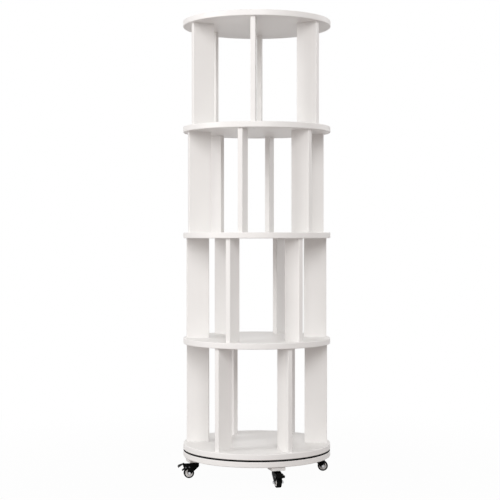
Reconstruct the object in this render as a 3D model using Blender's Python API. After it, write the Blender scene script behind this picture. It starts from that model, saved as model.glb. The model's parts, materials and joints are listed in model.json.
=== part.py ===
"""Revolving bookcase on casters.

Round boards stand on narrow radial uprights in four tiers, each tier turned a little past the one below.
The tower turns on a ball ring let into the base board, and the base board rolls on four swivel casters,
two of them with a foot brake.

Metres, +Z up, origin on the floor under the turning axis. A bearing is an angle round the tower in degrees,
measured from the front (-Y) and growing towards +X.
"""

from collections import namedtuple
from math import acos, atan2, cos, pi, radians, sin, sqrt

import bmesh
import bpy
from mathutils import Matrix, Vector

# Boards
BOARD_DIAMETER = 0.460
BOARD_THICKNESS = 0.018
BOARD_EDGE_ROUND = 0.0025

# Uprights
UPRIGHT_HEIGHT = 0.310
UPRIGHT_WIDTH = 0.070
UPRIGHT_THICKNESS = 0.015
UPRIGHT_EDGE_ROUND = 0.002
UPRIGHT_RIM_INSET = 0.010
UPRIGHTS_PER_TIER = 6
FIRST_TIER_BEARING = -33.0
TIER_TWIST = 10.0

# Turntable ring bearing between base board and tower
TURN_GAP = 0.004
BEARING_RIM_INSET = 0.080
BEARING_RING_WIDTH = 0.007
BEARING_RING_LIFT = 0.0012
RACE_LIP = 0.0004
BALL_DIAMETER = 0.005
BALL_COUNT = 12
CAGE_THICKNESS = 0.001
CAGE_HEIGHT = 0.0024
CAGE_CLEARANCE = 0.0007
POCKET_MARGIN = 0.0006

# Blocks that carry the casters
BLOCK_SIDE = 0.044
BLOCK_THICKNESS = 0.011
BLOCK_CORNER_ROUND = 0.004
CASTER_RIM_INSET = 0.028
FIRST_CASTER_BEARING = 17.0

# Caster wheels
WHEEL_DIAMETER = 0.032
WHEEL_WIDTH = 0.016
TYRE_DEPTH = 0.0045
TREAD_ROUND = 0.003
CORE_RIM_RECESS = 0.0008
CORE_RIM_DEPTH = 0.0015
CORE_WEB_THICKNESS = 0.0105
HUB_DIAMETER = 0.010
HUB_PROUD = 0.0004
AXLE_DIAMETER = 0.005
AXLE_HEAD_DIAMETER = 0.009
AXLE_HEAD_LENGTH = 0.005
AXLE_CHAMFER = 0.0006

# Caster forks, stamped from one sheet
FORK_SHEET = 0.002
FORK_BEND_INSIDE = 0.001
FORK_SIDE_CLEARANCE = 0.0008
FORK_HEADROOM = 0.0109
FORK_TRAIL = 0.017
FORK_FRONT = 0.0135
FORK_BACK = 0.0125
FORK_SHOULDER = 0.0105
FORK_BACK_DROP = 0.003
FORK_BOSS_RADIUS = 0.0055

# Caster stems with flange and riveted kingpin
STEM_DIAMETER = 0.008
STEM_END_CLEARANCE = 0.001
STEM_CHAMFER = 0.0008
FLANGE_DIAMETER = 0.023
FLANGE_THICKNESS = 0.0025
KINGPIN_DIAMETER = 0.007
RIVET_DIAMETER = 0.011
RIVET_THICKNESS = 0.002

# Foot brakes
BRAKE_PIVOT_RISE = 0.0051
BRAKE_PIVOT_ANGLE = 58.6
BRAKE_SHOE_GAP = 0.0024
BRAKE_SHOE_ANGLE = 42.0
BRAKE_SHEET = 0.0022
BRAKE_SIDE_CLEARANCE = 0.0017
BRAKE_BOSS_DIAMETER = 0.006
BRAKE_BOSS_PROUD = 0.0005
BRAKE_PIN_DIAMETER = 0.003
BRAKE_PIN_HEAD_DIAMETER = 0.0052
BRAKE_PIN_HEAD_LENGTH = 0.001
PEDAL_NECK_FORWARD = 0.0035
PEDAL_NECK_RISE = 0.0115
PEDAL_LENGTH = 0.0213
PEDAL_SLOPE = -25.0
PEDAL_FLARE_START = 0.009
PEDAL_TIP_WIDTH = 0.026
PEDAL_TIP_ROUND = 0.005
RELEASE_LENGTH = 0.0085
RELEASE_SLOPE = -40.0
EAR_RADIUS = 0.0052
EAR_NOTCH = 0.0042
EAR_DROP = 0.004
EAR_LEAN = 0.008

# Clearance between pieces that seat on each other, and overrun of a cutting shape past what it cuts
SEAT_GAP = 0.0003
OVERRUN = 0.002

# Facets round a turned piece, in each rounded edge and along each fork arc
BOARD_FACETS = 56
RING_FACETS = 48
WHEEL_FACETS = 20
STEM_FACETS = 12
PIN_FACETS = 12
BALL_FACETS = 6
BALL_BANDS = 4
EDGE_STEPS = 2
FORK_STEPS = 6

SMOOTH_ANGLE = radians(35)
WELD_DISTANCE = 1e-6

Tier = namedtuple("Tier", "name board")
Caster = namedtuple("Caster", "name heading braked")

TIERS = (
    Tier("lower", "lower_shelf"),
    Tier("middle", "middle_shelf"),
    Tier("upper", "upper_shelf"),
    Tier("top", "top_board"),
)
CASTERS = (
    Caster("front", 15.0, True),
    Caster("right", 92.0, False),
    Caster("rear", 190.0, False),
    Caster("left", 280.0, True),
)

# Boards and uprights, worked out
BOARD_RADIUS = BOARD_DIAMETER / 2
UPRIGHT_MID_RADIUS = BOARD_RADIUS - UPRIGHT_RIM_INSET - UPRIGHT_WIDTH / 2
TIER_PITCH = BOARD_THICKNESS + UPRIGHT_HEIGHT + 2 * SEAT_GAP

# Casters, worked out from the floor up
WHEEL_RADIUS = WHEEL_DIAMETER / 2
CORE_RADIUS = WHEEL_RADIUS - TYRE_DEPTH
HUB_LENGTH = WHEEL_WIDTH + 2 * HUB_PROUD
CORE_RIM_WIDTH = WHEEL_WIDTH - 2 * CORE_RIM_RECESS
LEG_INSIDE = HUB_LENGTH / 2 + FORK_SIDE_CLEARANCE
LEG_OUTSIDE = LEG_INSIDE + FORK_SHEET
BRAKE_WIDTH = 2 * (LEG_INSIDE - BRAKE_SIDE_CLEARANCE)
RIVET_BOTTOM = WHEEL_DIAMETER + FORK_HEADROOM
RIVET_TOP = RIVET_BOTTOM + RIVET_THICKNESS
CROWN_BOTTOM = RIVET_TOP + SEAT_GAP
CROWN_TOP = CROWN_BOTTOM + FORK_SHEET
FLANGE_BOTTOM = CROWN_TOP + SEAT_GAP
CASTER_HEIGHT = FLANGE_BOTTOM + FLANGE_THICKNESS
BLOCK_BOTTOM = CASTER_HEIGHT + SEAT_GAP
BLOCK_TOP = BLOCK_BOTTOM + BLOCK_THICKNESS
CASTER_CIRCLE_RADIUS = BOARD_RADIUS - CASTER_RIM_INSET

# Turntable, worked out
BALL_RADIUS = BALL_DIAMETER / 2
RACE_GAP = CAGE_THICKNESS + 2 * CAGE_CLEARANCE
GROOVE_REACH = (BALL_RADIUS + SEAT_GAP) * sqrt(2)
RACE_HALF_HEIGHT = GROOVE_REACH - RACE_GAP / 2
RING_HEIGHT = 2 * RACE_HALF_HEIGHT + BEARING_RING_LIFT + 2 * RACE_LIP
BEARING_HEIGHT = RING_HEIGHT + BEARING_RING_LIFT
BEARING_RADIUS = BOARD_RADIUS - BEARING_RIM_INSET
BALL_CIRCLE_RADIUS = BEARING_RADIUS - BEARING_RING_WIDTH - RACE_GAP / 2
POCKET_RADIUS = BEARING_RADIUS + POCKET_MARGIN
POCKET_DEPTH = (BEARING_HEIGHT + 2 * SEAT_GAP - TURN_GAP) / 2

# Levels of the boards and the bearing
BASE_BOTTOM = BLOCK_TOP + SEAT_GAP
BASE_TOP = BASE_BOTTOM + BOARD_THICKNESS
BEARING_BOTTOM = BASE_TOP - POCKET_DEPTH + SEAT_GAP
BALL_LEVEL = BEARING_BOTTOM + BEARING_HEIGHT / 2
TOWER_BOTTOM = BASE_TOP + TURN_GAP

# Points of the caster in its own side view: x along the trail from the kingpin, y up from the floor
AXLE_POINT = Vector((FORK_TRAIL, WHEEL_RADIUS))
BRAKE_PIVOT_POINT = AXLE_POINT + (WHEEL_RADIUS + BRAKE_PIVOT_RISE) * Vector(
    (cos(radians(BRAKE_PIVOT_ANGLE)), sin(radians(BRAKE_PIVOT_ANGLE)))
)


def clear_scene():
    """Empty the scene."""
    for old in list(bpy.data.objects):
        bpy.data.objects.remove(old, do_unlink=True)


def make_material(name, colour, roughness, metallic=0.0):
    """A plain finish."""
    material = bpy.data.materials.new(name)
    material.use_nodes = True
    shader = material.node_tree.nodes["Principled BSDF"]
    shader.inputs["Base Color"].default_value = (*colour, 1.0)
    shader.inputs["Roughness"].default_value = roughness
    shader.inputs["Metallic"].default_value = metallic
    return material


def make_empty(name, location=(0.0, 0.0, 0.0), turn=0.0, parent=None):
    """A joint: an empty that carries the pieces which move together."""
    empty = bpy.data.objects.new(name, None)
    empty.location = location
    empty.rotation_euler = (0.0, 0.0, turn)
    empty.parent = parent
    bpy.context.scene.collection.objects.link(empty)
    return empty


def add_piece(name, mesh, material, parent, location=(0.0, 0.0, 0.0), rotation=(0.0, 0.0, 0.0)):
    """One sub-part of the bookcase under its joint."""
    piece = bpy.data.objects.new(name, mesh)
    piece.location = location
    piece.rotation_euler = rotation
    piece.parent = parent
    if not mesh.materials:
        mesh.materials.append(material)
    mesh.shade_smooth()
    mesh.set_sharp_from_angle(angle=SMOOTH_ANGLE)
    bpy.context.scene.collection.objects.link(piece)
    return piece


def to_mesh(name, bm):
    """Close a bmesh into a mesh with its faces pointing out."""
    bmesh.ops.recalc_face_normals(bm, faces=bm.faces)
    mesh = bpy.data.meshes.new(name)
    bm.to_mesh(mesh)
    bm.free()
    return mesh


def turned(name, profile, facets, ring=False):
    """Turn a profile of (radius, height) points round Z; a ring's profile closes on itself."""
    bm = bmesh.new()
    points = [bm.verts.new((radius, 0.0, height)) for radius, height in profile]
    ends = points[1:] + points[:1] if ring else points[1:]
    edges = [bm.edges.new(pair) for pair in zip(points, ends)]
    bmesh.ops.spin(
        bm, geom=points + edges, cent=(0, 0, 0), axis=(0, 0, 1), angle=2 * pi, steps=facets, use_merge=True
    )
    bmesh.ops.remove_doubles(bm, verts=bm.verts, dist=WELD_DISTANCE)
    return to_mesh(name, bm)


def slab(name, outline, thickness, upright=False):
    """Extrude an outline up from z = 0, or stood upright, its second axis up and centred on y = 0."""
    bm = bmesh.new()
    face = bm.faces.new([bm.verts.new((x, y, 0.0)) for x, y in outline])
    grown = bmesh.ops.extrude_face_region(bm, geom=[face], use_keep_orig=True)
    raised = [item for item in grown["geom"] if isinstance(item, bmesh.types.BMVert)]
    bmesh.ops.translate(bm, verts=raised, vec=(0.0, 0.0, thickness))
    if upright:
        stand = Matrix.Translation((0.0, thickness / 2, 0.0)) @ Matrix.Rotation(pi / 2, 4, "X")
        bm.transform(stand)
    return to_mesh(name, bm)


def combine(target, operation, other):
    """Unite, cut or intersect one mesh with another, using both up."""
    body = bpy.data.objects.new("body", target)
    tool = bpy.data.objects.new("tool", other)
    for part in (body, tool):
        bpy.context.scene.collection.objects.link(part)
    change = body.modifiers.new("combine", "BOOLEAN")
    change.operation = operation
    change.solver = "EXACT"
    change.object = tool
    graph = bpy.context.evaluated_depsgraph_get()
    result = bpy.data.meshes.new_from_object(body.evaluated_get(graph))
    result.name = target.name
    for part in (body, tool):
        bpy.data.objects.remove(part)
    for used in (target, other):
        bpy.data.meshes.remove(used)
    return result


def moved(mesh, matrix):
    """Place a mesh before it is combined with another."""
    mesh.transform(matrix)
    return mesh


def arc(centre, radius, start, end, steps):
    """Points along an arc, angles in degrees, both ends included."""
    angles = [radians(start + (end - start) * step / steps) for step in range(steps + 1)]
    return [(centre[0] + radius * cos(angle), centre[1] + radius * sin(angle)) for angle in angles]


def rounded_rectangle(length, width, corner):
    """Outline of a rectangle centred on the origin with rounded corners."""
    x = length / 2 - corner
    y = width / 2 - corner
    corners = ((x, y, 0), (-x, y, 90), (-x, -y, 180), (x, -y, 270))
    return [
        point
        for corner_x, corner_y, start in corners
        for point in arc((corner_x, corner_y), corner, start, start + 90, EDGE_STEPS)
    ]


def tangent_angle(point, centre, radius, side):
    """Angle in degrees where the line from a point touches a circle, on the left (+1) or right (-1)."""
    offset = Vector(point) - Vector(centre)
    along = atan2(offset.y, offset.x)
    spread = acos(radius / offset.length)
    return (along + side * spread) * 180 / pi


def strip(path, thickness):
    """Outline of a bent sheet of even thickness along a path, with mitred bends."""
    points = [Vector(point) for point in path]
    sides = ([], [])
    for index, point in enumerate(points):
        before = points[index] - points[index - 1] if index else points[1] - points[0]
        after = points[index + 1] - points[index] if index + 1 < len(points) else before
        normals = [Vector((-run.y, run.x)).normalized() for run in (before, after)]
        mitre = (normals[0] + normals[1]).normalized()
        reach = thickness / 2 / mitre.dot(normals[0])
        sides[0].append(point + mitre * reach)
        sides[1].append(point - mitre * reach)
    return sides[0] + sides[1][::-1]


def place(radius, bearing, height=0.0):
    """A point round the tower."""
    angle = radians(bearing)
    return Vector((radius * sin(angle), -radius * cos(angle), height))


def facing(bearing):
    """Turn about Z that points a piece's +X along a bearing."""
    return radians(bearing - 90)


def board_mesh(name, pocket_above=False, pocket_below=False):
    """A round board with a softly rounded rim, and a shallow pocket for the bearing where it has one."""
    inner = BOARD_RADIUS - BOARD_EDGE_ROUND
    floor = POCKET_DEPTH if pocket_below else 0.0
    roof = BOARD_THICKNESS - POCKET_DEPTH if pocket_above else BOARD_THICKNESS
    profile = [(0.0, floor)]
    if pocket_below:
        profile += [(POCKET_RADIUS, floor), (POCKET_RADIUS, 0.0)]
    profile += arc((inner, BOARD_EDGE_ROUND), BOARD_EDGE_ROUND, -90, 0, EDGE_STEPS)
    profile += arc((inner, BOARD_THICKNESS - BOARD_EDGE_ROUND), BOARD_EDGE_ROUND, 0, 90, EDGE_STEPS)
    if pocket_above:
        profile += [(POCKET_RADIUS, BOARD_THICKNESS), (POCKET_RADIUS, roof)]
    profile += [(0.0, roof)]
    return turned(name, profile, BOARD_FACETS)


def upright_mesh():
    """A narrow standing panel with rounded long edges."""
    outline = rounded_rectangle(UPRIGHT_WIDTH, UPRIGHT_THICKNESS, UPRIGHT_EDGE_ROUND)
    return slab("upright", outline, UPRIGHT_HEIGHT)


def bearing_ring_mesh(name, side):
    """A ring with a V groove for the balls, measured up from them: outer, low (+1) or inner, high (-1)."""
    race = BALL_CIRCLE_RADIUS + side * RACE_GAP / 2
    groove = BALL_CIRCLE_RADIUS + side * GROOVE_REACH
    back = race + side * BEARING_RING_WIDTH
    if side > 0:
        # The flats of the outer race, not its corners, keep the clearance
        race /= cos(pi / RING_FACETS)
        groove /= cos(pi / RING_FACETS)
    bottom = -BEARING_HEIGHT / 2 if side > 0 else BEARING_HEIGHT / 2 - RING_HEIGHT
    top = bottom + RING_HEIGHT
    mouth = [(race, -RACE_HALF_HEIGHT), (groove, 0.0), (race, RACE_HALF_HEIGHT)]
    profile = [(back, top), (back, bottom), (race, bottom), *mouth, (race, top)]
    return turned(name, profile, RING_FACETS, ring=True)


def ball_cage_mesh():
    """A thin cage band with the balls held in it, its heights measured from the balls."""
    inside = BALL_CIRCLE_RADIUS - CAGE_THICKNESS / 2
    outside = BALL_CIRCLE_RADIUS + CAGE_THICKNESS / 2
    half = CAGE_HEIGHT / 2
    section = [(inside, -half), (outside, -half), (outside, half), (inside, half)]
    band = turned("ball_cage", section, RING_FACETS, ring=True)
    bm = bmesh.new()
    for ball in range(BALL_COUNT):
        spot = Matrix.Translation(place(BALL_CIRCLE_RADIUS, ball * 360 / BALL_COUNT))
        bmesh.ops.create_uvsphere(
            bm, u_segments=BALL_FACETS, v_segments=BALL_BANDS, radius=BALL_RADIUS, matrix=spot
        )
    return combine(band, "UNION", to_mesh("balls", bm))


def block_mesh():
    """A square caster block, bored through for the stem."""
    outline = rounded_rectangle(BLOCK_SIDE, BLOCK_SIDE, BLOCK_CORNER_ROUND)
    block = slab("caster_block", outline, BLOCK_THICKNESS)
    bore = post(STEM_DIAMETER / 2 + SEAT_GAP, -OVERRUN, BLOCK_THICKNESS + OVERRUN, STEM_FACETS)
    return combine(block, "DIFFERENCE", bore)


def post(radius, bottom, top, facets):
    """A plain cylinder along Z, for cutting holes."""
    return turned("post", [(0.0, bottom), (radius, bottom), (radius, top), (0.0, top)], facets)


def stem_mesh():
    """Stem, flange and kingpin in one: the flange seats under the block, the rivet head holds the fork."""
    head = RIVET_DIAMETER / 2
    pin = KINGPIN_DIAMETER / 2
    flange = FLANGE_DIAMETER / 2
    stem = STEM_DIAMETER / 2
    tip = BLOCK_TOP - STEM_END_CLEARANCE
    profile = [
        (0.0, RIVET_BOTTOM),
        (head, RIVET_BOTTOM),
        (head, RIVET_TOP),
        (pin, RIVET_TOP),
        (pin, FLANGE_BOTTOM),
        (flange, FLANGE_BOTTOM),
        (flange, CASTER_HEIGHT),
        (stem, CASTER_HEIGHT),
        (stem, tip - STEM_CHAMFER),
        (stem - STEM_CHAMFER, tip),
        (0.0, tip),
    ]
    return turned("caster_stem", profile, STEM_FACETS)


def fork_section():
    """Cross-section of the fork: a sheet bent down into two legs."""
    outside_bend = FORK_BEND_INSIDE + FORK_SHEET
    foot = -OVERRUN
    outer_x = LEG_OUTSIDE - outside_bend
    inner_x = LEG_INSIDE - FORK_BEND_INSIDE
    outer = arc((outer_x, CROWN_TOP - outside_bend), outside_bend, 0, 90, EDGE_STEPS)
    inner = arc((inner_x, CROWN_BOTTOM - FORK_BEND_INSIDE), FORK_BEND_INSIDE, 90, 0, EDGE_STEPS)
    right = [(LEG_INSIDE, foot), (LEG_OUTSIDE, foot), *outer]
    left = [(-x, z) for x, z in outer[::-1]] + [(-LEG_OUTSIDE, foot), (-LEG_INSIDE, foot)]
    under = [(-x, z) for x, z in inner[::-1]] + inner
    return right + left + under


def fork_silhouette(braked):
    """Side view of the fork: crown, legs that taper to the axle boss, and ears for a brake."""
    over = CROWN_TOP + OVERRUN
    shoulder = CROWN_TOP - FORK_SHOULDER
    front = (-FORK_FRONT, shoulder)
    back = [(AXLE_POINT.x + FORK_BOSS_RADIUS, shoulder), (FORK_BACK, CROWN_TOP - FORK_BACK_DROP)]
    if braked:
        pivot = BRAKE_PIVOT_POINT
        ear_top = CROWN_TOP - EAR_DROP
        notch = (AXLE_POINT.x + EAR_NOTCH, pivot.y - EAR_RADIUS)
        ear_foot = arc(pivot, EAR_RADIUS, -90, 0, EDGE_STEPS)
        back = [notch, *ear_foot, (pivot.x + EAR_LEAN, ear_top), (FORK_BACK, ear_top)]
    boss_start = tangent_angle(front, AXLE_POINT, FORK_BOSS_RADIUS, 1)
    boss_end = tangent_angle(back[0], AXLE_POINT, FORK_BOSS_RADIUS, -1) + 360
    boss = arc(AXLE_POINT, FORK_BOSS_RADIUS, boss_start, boss_end, FORK_STEPS)
    return [(-FORK_FRONT, over), front, *boss, *back, (FORK_BACK, over)]


def fork_mesh(braked):
    """A stamped caster fork with holes for kingpin and axle, and for the brake pin where it has ears."""
    reach = FORK_TRAIL + WHEEL_DIAMETER
    channel = slab("fork", fork_section(), 2 * reach)
    turn_along_x = Matrix(((0, 0, 1, 0), (1, 0, 0, 0), (0, 1, 0, 0), (0, 0, 0, 1)))
    lie_along_x = Matrix.Translation((-reach, 0, 0)) @ turn_along_x
    side = slab("side", fork_silhouette(braked), 2 * (LEG_OUTSIDE + OVERRUN), upright=True)
    fork = combine(moved(channel, lie_along_x), "INTERSECT", side)
    kingpin_hole = KINGPIN_DIAMETER / 2 + SEAT_GAP
    kingpin_drill = post(kingpin_hole, CROWN_BOTTOM - OVERRUN, CROWN_TOP + OVERRUN, STEM_FACETS)
    fork = combine(fork, "DIFFERENCE", kingpin_drill)
    holes = [(AXLE_POINT, AXLE_DIAMETER)]
    if braked:
        holes.append((BRAKE_PIVOT_POINT, BRAKE_PIN_DIAMETER))
    for point, diameter in holes:
        half = LEG_OUTSIDE + OVERRUN
        drill = post(diameter / 2 + SEAT_GAP, -half, half, PIN_FACETS)
        across = Matrix.Translation((point.x, 0.0, point.y)) @ Matrix.Rotation(pi / 2, 4, "X")
        fork = combine(fork, "DIFFERENCE", moved(drill, across))
    return fork


def axle_mesh():
    """Wheel axle with a head outside each fork leg."""
    shaft = AXLE_DIAMETER / 2
    head = AXLE_HEAD_DIAMETER / 2
    seat = LEG_OUTSIDE + SEAT_GAP
    end = seat + AXLE_HEAD_LENGTH
    half = [(head - AXLE_CHAMFER, end), (head, end - AXLE_CHAMFER), (head, seat), (shaft, seat)]
    mirrored = [(radius, -height) for radius, height in half[::-1]]
    return turned("axle", [(0.0, end), *half, *mirrored, (0.0, -end)], PIN_FACETS)


def tyre_mesh():
    """Wheel tyre with a rounded tread."""
    half = WHEEL_WIDTH / 2
    inside = CORE_RADIUS + SEAT_GAP
    middle = WHEEL_RADIUS - TREAD_ROUND
    tread = arc((middle, half - TREAD_ROUND), TREAD_ROUND, 90, 0, EDGE_STEPS)
    tread += arc((middle, TREAD_ROUND - half), TREAD_ROUND, 0, -90, EDGE_STEPS)
    return turned("tyre", [(inside, half), *tread, (inside, -half)], WHEEL_FACETS, ring=True)


def core_mesh():
    """Moulded wheel core: bored hub, dished web and rim."""
    bore = AXLE_DIAMETER / 2 + SEAT_GAP
    hub = HUB_DIAMETER / 2
    half = [
        (CORE_RADIUS, CORE_RIM_WIDTH / 2),
        (CORE_RADIUS - CORE_RIM_DEPTH, CORE_RIM_WIDTH / 2),
        (hub, CORE_WEB_THICKNESS / 2),
        (hub, HUB_LENGTH / 2),
        (bore, HUB_LENGTH / 2),
    ]
    mirrored = [(radius, -height) for radius, height in half[::-1]]
    return turned("core", half + mirrored, WHEEL_FACETS, ring=True)


def brake_path():
    """Bent line of the brake lever in the caster's side view, from pedal tip to release tab."""
    pivot = BRAKE_PIVOT_POINT
    neck = pivot + Vector((PEDAL_NECK_FORWARD, PEDAL_NECK_RISE))
    pedal_run = Vector((cos(radians(PEDAL_SLOPE)), sin(radians(PEDAL_SLOPE)))) * PEDAL_LENGTH
    shoe_distance = WHEEL_RADIUS + BRAKE_SHOE_GAP + BRAKE_SHEET / 2
    shoe = Vector((cos(radians(BRAKE_SHOE_ANGLE)), sin(radians(BRAKE_SHOE_ANGLE)))) * shoe_distance
    release_run = Vector((cos(radians(RELEASE_SLOPE)), sin(radians(RELEASE_SLOPE)))) * RELEASE_LENGTH
    knee = AXLE_POINT + shoe
    return [point - pivot for point in (neck + pedal_run, neck, pivot, knee, knee + release_run)]


def pedal_plan(reach):
    """Plan of the brake lever: even between the fork legs, then flared to a round-cornered pedal tip."""
    narrow = BRAKE_WIDTH / 2
    corner_x = reach - PEDAL_TIP_ROUND
    corner_y = PEDAL_TIP_WIDTH / 2 - PEDAL_TIP_ROUND
    tip = arc((corner_x, -corner_y), PEDAL_TIP_ROUND, -90, 0, EDGE_STEPS)
    tip += arc((corner_x, corner_y), PEDAL_TIP_ROUND, 0, 90, EDGE_STEPS)
    near_side = [(-reach, -narrow), (PEDAL_FLARE_START, -narrow)]
    far_side = [(PEDAL_FLARE_START, narrow), (-reach, narrow)]
    return near_side + tip + far_side


def brake_mesh():
    """Foot brake, measured from its pivot: pedal, shoe over the tread, release tab and riveted pin."""
    path = brake_path()
    lever = slab("brake", strip(path, BRAKE_SHEET), PEDAL_TIP_WIDTH + 2 * OVERRUN, upright=True)
    reach = path[0].x + BRAKE_SHEET / 2
    plan = slab("plan", pedal_plan(reach), 4 * reach)
    lever = combine(lever, "INTERSECT", moved(plan, Matrix.Translation((0.0, 0.0, -2 * reach))))
    pin = BRAKE_PIN_DIAMETER / 2
    boss = BRAKE_BOSS_DIAMETER / 2
    head = BRAKE_PIN_HEAD_DIAMETER / 2
    boss_end = BRAKE_WIDTH / 2 + BRAKE_BOSS_PROUD
    seat = LEG_OUTSIDE + SEAT_GAP
    end = seat + BRAKE_PIN_HEAD_LENGTH
    half = [(0.0, end), (head, end), (head, seat), (pin, seat), (pin, boss_end), (boss, boss_end)]
    mirrored = [(radius, -height) for radius, height in half[::-1]]
    rivet = turned("rivet", half + mirrored, PIN_FACETS)
    return combine(lever, "UNION", moved(rivet, Matrix.Rotation(pi / 2, 4, "X")))


def build_base(white, alloy):
    """Base board, fixed to the outer bearing ring."""
    base = make_empty("base")
    add_piece("base_board", board_mesh("base_board", pocket_above=True), white, base, (0, 0, BASE_BOTTOM))
    add_piece("bearing_outer_ring", bearing_ring_mesh("outer_ring", 1), alloy, base, (0, 0, BALL_LEVEL))
    return base


def build_tower(white, alloy):
    """Bottom board on the inner bearing ring, then four tiers of uprights, each under its board."""
    tower = make_empty("tower")
    add_piece("bearing_inner_ring", bearing_ring_mesh("inner_ring", -1), alloy, tower, (0, 0, BALL_LEVEL))
    bottom = board_mesh("bottom_board", pocket_below=True)
    add_piece("bottom_board", bottom, white, tower, (0, 0, TOWER_BOTTOM))
    panel = upright_mesh()
    shelf = board_mesh("shelf")
    for level, tier in enumerate(TIERS):
        floor = TOWER_BOTTOM + BOARD_THICKNESS + level * TIER_PITCH
        start = FIRST_TIER_BEARING + level * TIER_TWIST
        for number in range(UPRIGHTS_PER_TIER):
            bearing = start + number * 360 / UPRIGHTS_PER_TIER
            name = f"{tier.name}_upright_{number + 1}"
            spot = place(UPRIGHT_MID_RADIUS, bearing, floor + SEAT_GAP)
            add_piece(name, panel, white, tower, spot, (0, 0, facing(bearing)))
        add_piece(tier.board, shelf, white, tower, (0, 0, floor + TIER_PITCH - BOARD_THICKNESS))


def build_ball_cage(steel):
    """Balls in their cage, rolling between the two rings."""
    add_piece("bearing_ball_cage", ball_cage_mesh(), steel, make_empty("cage"), (0, 0, BALL_LEVEL))


def build_casters(base, white, black, bright, rubber, nylon):
    """A block and a swivel caster at each of four places under the base board."""
    block, stem, axle, tyre, core = block_mesh(), stem_mesh(), axle_mesh(), tyre_mesh(), core_mesh()
    forks = {braked: fork_mesh(braked) for braked in (True, False)}
    brake = brake_mesh()
    across = (pi / 2, 0.0, 0.0)
    axle_place = (AXLE_POINT.x, 0.0, AXLE_POINT.y)
    for number, caster in enumerate(CASTERS):
        label = f"{caster.name}_caster"
        bearing = FIRST_CASTER_BEARING + number * 360 / len(CASTERS)
        kingpin = place(CASTER_CIRCLE_RADIUS, bearing)
        mounting = make_empty(f"{label}_mounting", kingpin, facing(bearing), base)
        add_piece(f"{label}_block", block, white, mounting, (0, 0, BLOCK_BOTTOM))
        add_piece(f"{label}_stem", stem, black, mounting)
        swivel = make_empty(f"{label}_swivel", kingpin, facing(caster.heading))
        add_piece(f"{label}_fork", forks[caster.braked], black, swivel)
        add_piece(f"{label}_axle", axle, bright, swivel, axle_place, across)
        add_piece(f"{label}_tyre", tyre, rubber, swivel, axle_place, across)
        add_piece(f"{label}_core", core, nylon, swivel, axle_place, across)
        if caster.braked:
            pivot = (BRAKE_PIVOT_POINT.x, 0.0, BRAKE_PIVOT_POINT.y)
            add_piece(f"{label}_brake", brake, black, swivel, pivot)


def main():
    """Build the bookcase."""
    clear_scene()
    white = make_material("white_satin_board", (0.84, 0.84, 0.83), 0.42)
    black = make_material("black_painted_steel", (0.012, 0.012, 0.013), 0.45, 0.4)
    bright = make_material("zinc_plated_steel", (0.72, 0.72, 0.73), 0.3, 1.0)
    alloy = make_material("bearing_alloy", (0.78, 0.78, 0.79), 0.35, 1.0)
    steel = make_material("ball_steel", (0.56, 0.57, 0.58), 0.25, 1.0)
    rubber = make_material("black_rubber", (0.02, 0.02, 0.02), 0.75)
    nylon = make_material("pale_grey_nylon", (0.66, 0.65, 0.63), 0.5)
    base = build_base(white, alloy)
    build_tower(white, alloy)
    build_ball_cage(steel)
    build_casters(base, white, black, bright, rubber, nylon)


main()
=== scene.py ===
"""Finished looks of a revolving bookcase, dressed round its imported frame.

White boards stand on radial uprights, each tier turned a little past the one below. The tower turns on a ball
ring in the base board, and the base board rolls on four small swivel casters, two of them with a foot brake.

Metres, +Z up. Pieces are made on the bench in their own place, keep that place as the attribute "own", and
are then set where the frame says.
"""

import json
from math import acos, atan2, cos, pi, radians, sin, tan, tau

import bmesh
import bpy
from bpy.props import FloatProperty, FloatVectorProperty, IntProperty, PointerProperty
from bpy.types import Operator, Panel, PropertyGroup
from mathutils import Matrix, Vector

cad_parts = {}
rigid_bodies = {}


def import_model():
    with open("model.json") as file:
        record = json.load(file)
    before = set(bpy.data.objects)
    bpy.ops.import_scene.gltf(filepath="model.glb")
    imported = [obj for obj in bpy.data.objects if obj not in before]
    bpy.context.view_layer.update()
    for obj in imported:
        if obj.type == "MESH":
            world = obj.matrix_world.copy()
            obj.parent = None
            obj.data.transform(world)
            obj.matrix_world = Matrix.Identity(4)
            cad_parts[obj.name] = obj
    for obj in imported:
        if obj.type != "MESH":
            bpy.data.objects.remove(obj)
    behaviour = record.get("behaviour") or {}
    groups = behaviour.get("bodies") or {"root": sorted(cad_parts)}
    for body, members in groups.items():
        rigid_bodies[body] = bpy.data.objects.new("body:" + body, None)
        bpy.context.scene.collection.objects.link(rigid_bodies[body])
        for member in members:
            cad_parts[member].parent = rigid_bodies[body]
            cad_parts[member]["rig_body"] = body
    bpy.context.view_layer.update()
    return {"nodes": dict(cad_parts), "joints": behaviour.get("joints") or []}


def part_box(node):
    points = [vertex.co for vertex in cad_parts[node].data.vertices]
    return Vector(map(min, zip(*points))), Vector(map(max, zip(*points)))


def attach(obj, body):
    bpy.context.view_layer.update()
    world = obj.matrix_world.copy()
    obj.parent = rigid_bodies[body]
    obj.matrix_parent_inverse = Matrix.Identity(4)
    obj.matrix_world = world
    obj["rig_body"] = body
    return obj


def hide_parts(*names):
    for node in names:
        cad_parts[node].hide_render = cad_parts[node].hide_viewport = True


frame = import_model()

bl_info = {
    "name": "Revolving bookcase",
    "version": (1, 0, 0),
    "blender": (4, 5, 0),
    "location": "3D View > Sidebar > Bookcase",
    "description": "Dresses the boards, uprights, turntable and casters of a revolving bookcase",
    "category": "Add Mesh",
}

NODES = frame["nodes"]
JOINTS = {joint["name"]: joint for joint in frame["joints"]}

TIERS = ("lower", "middle", "upper", "top")
CASTERS = ("front", "right", "rear", "left")
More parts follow.
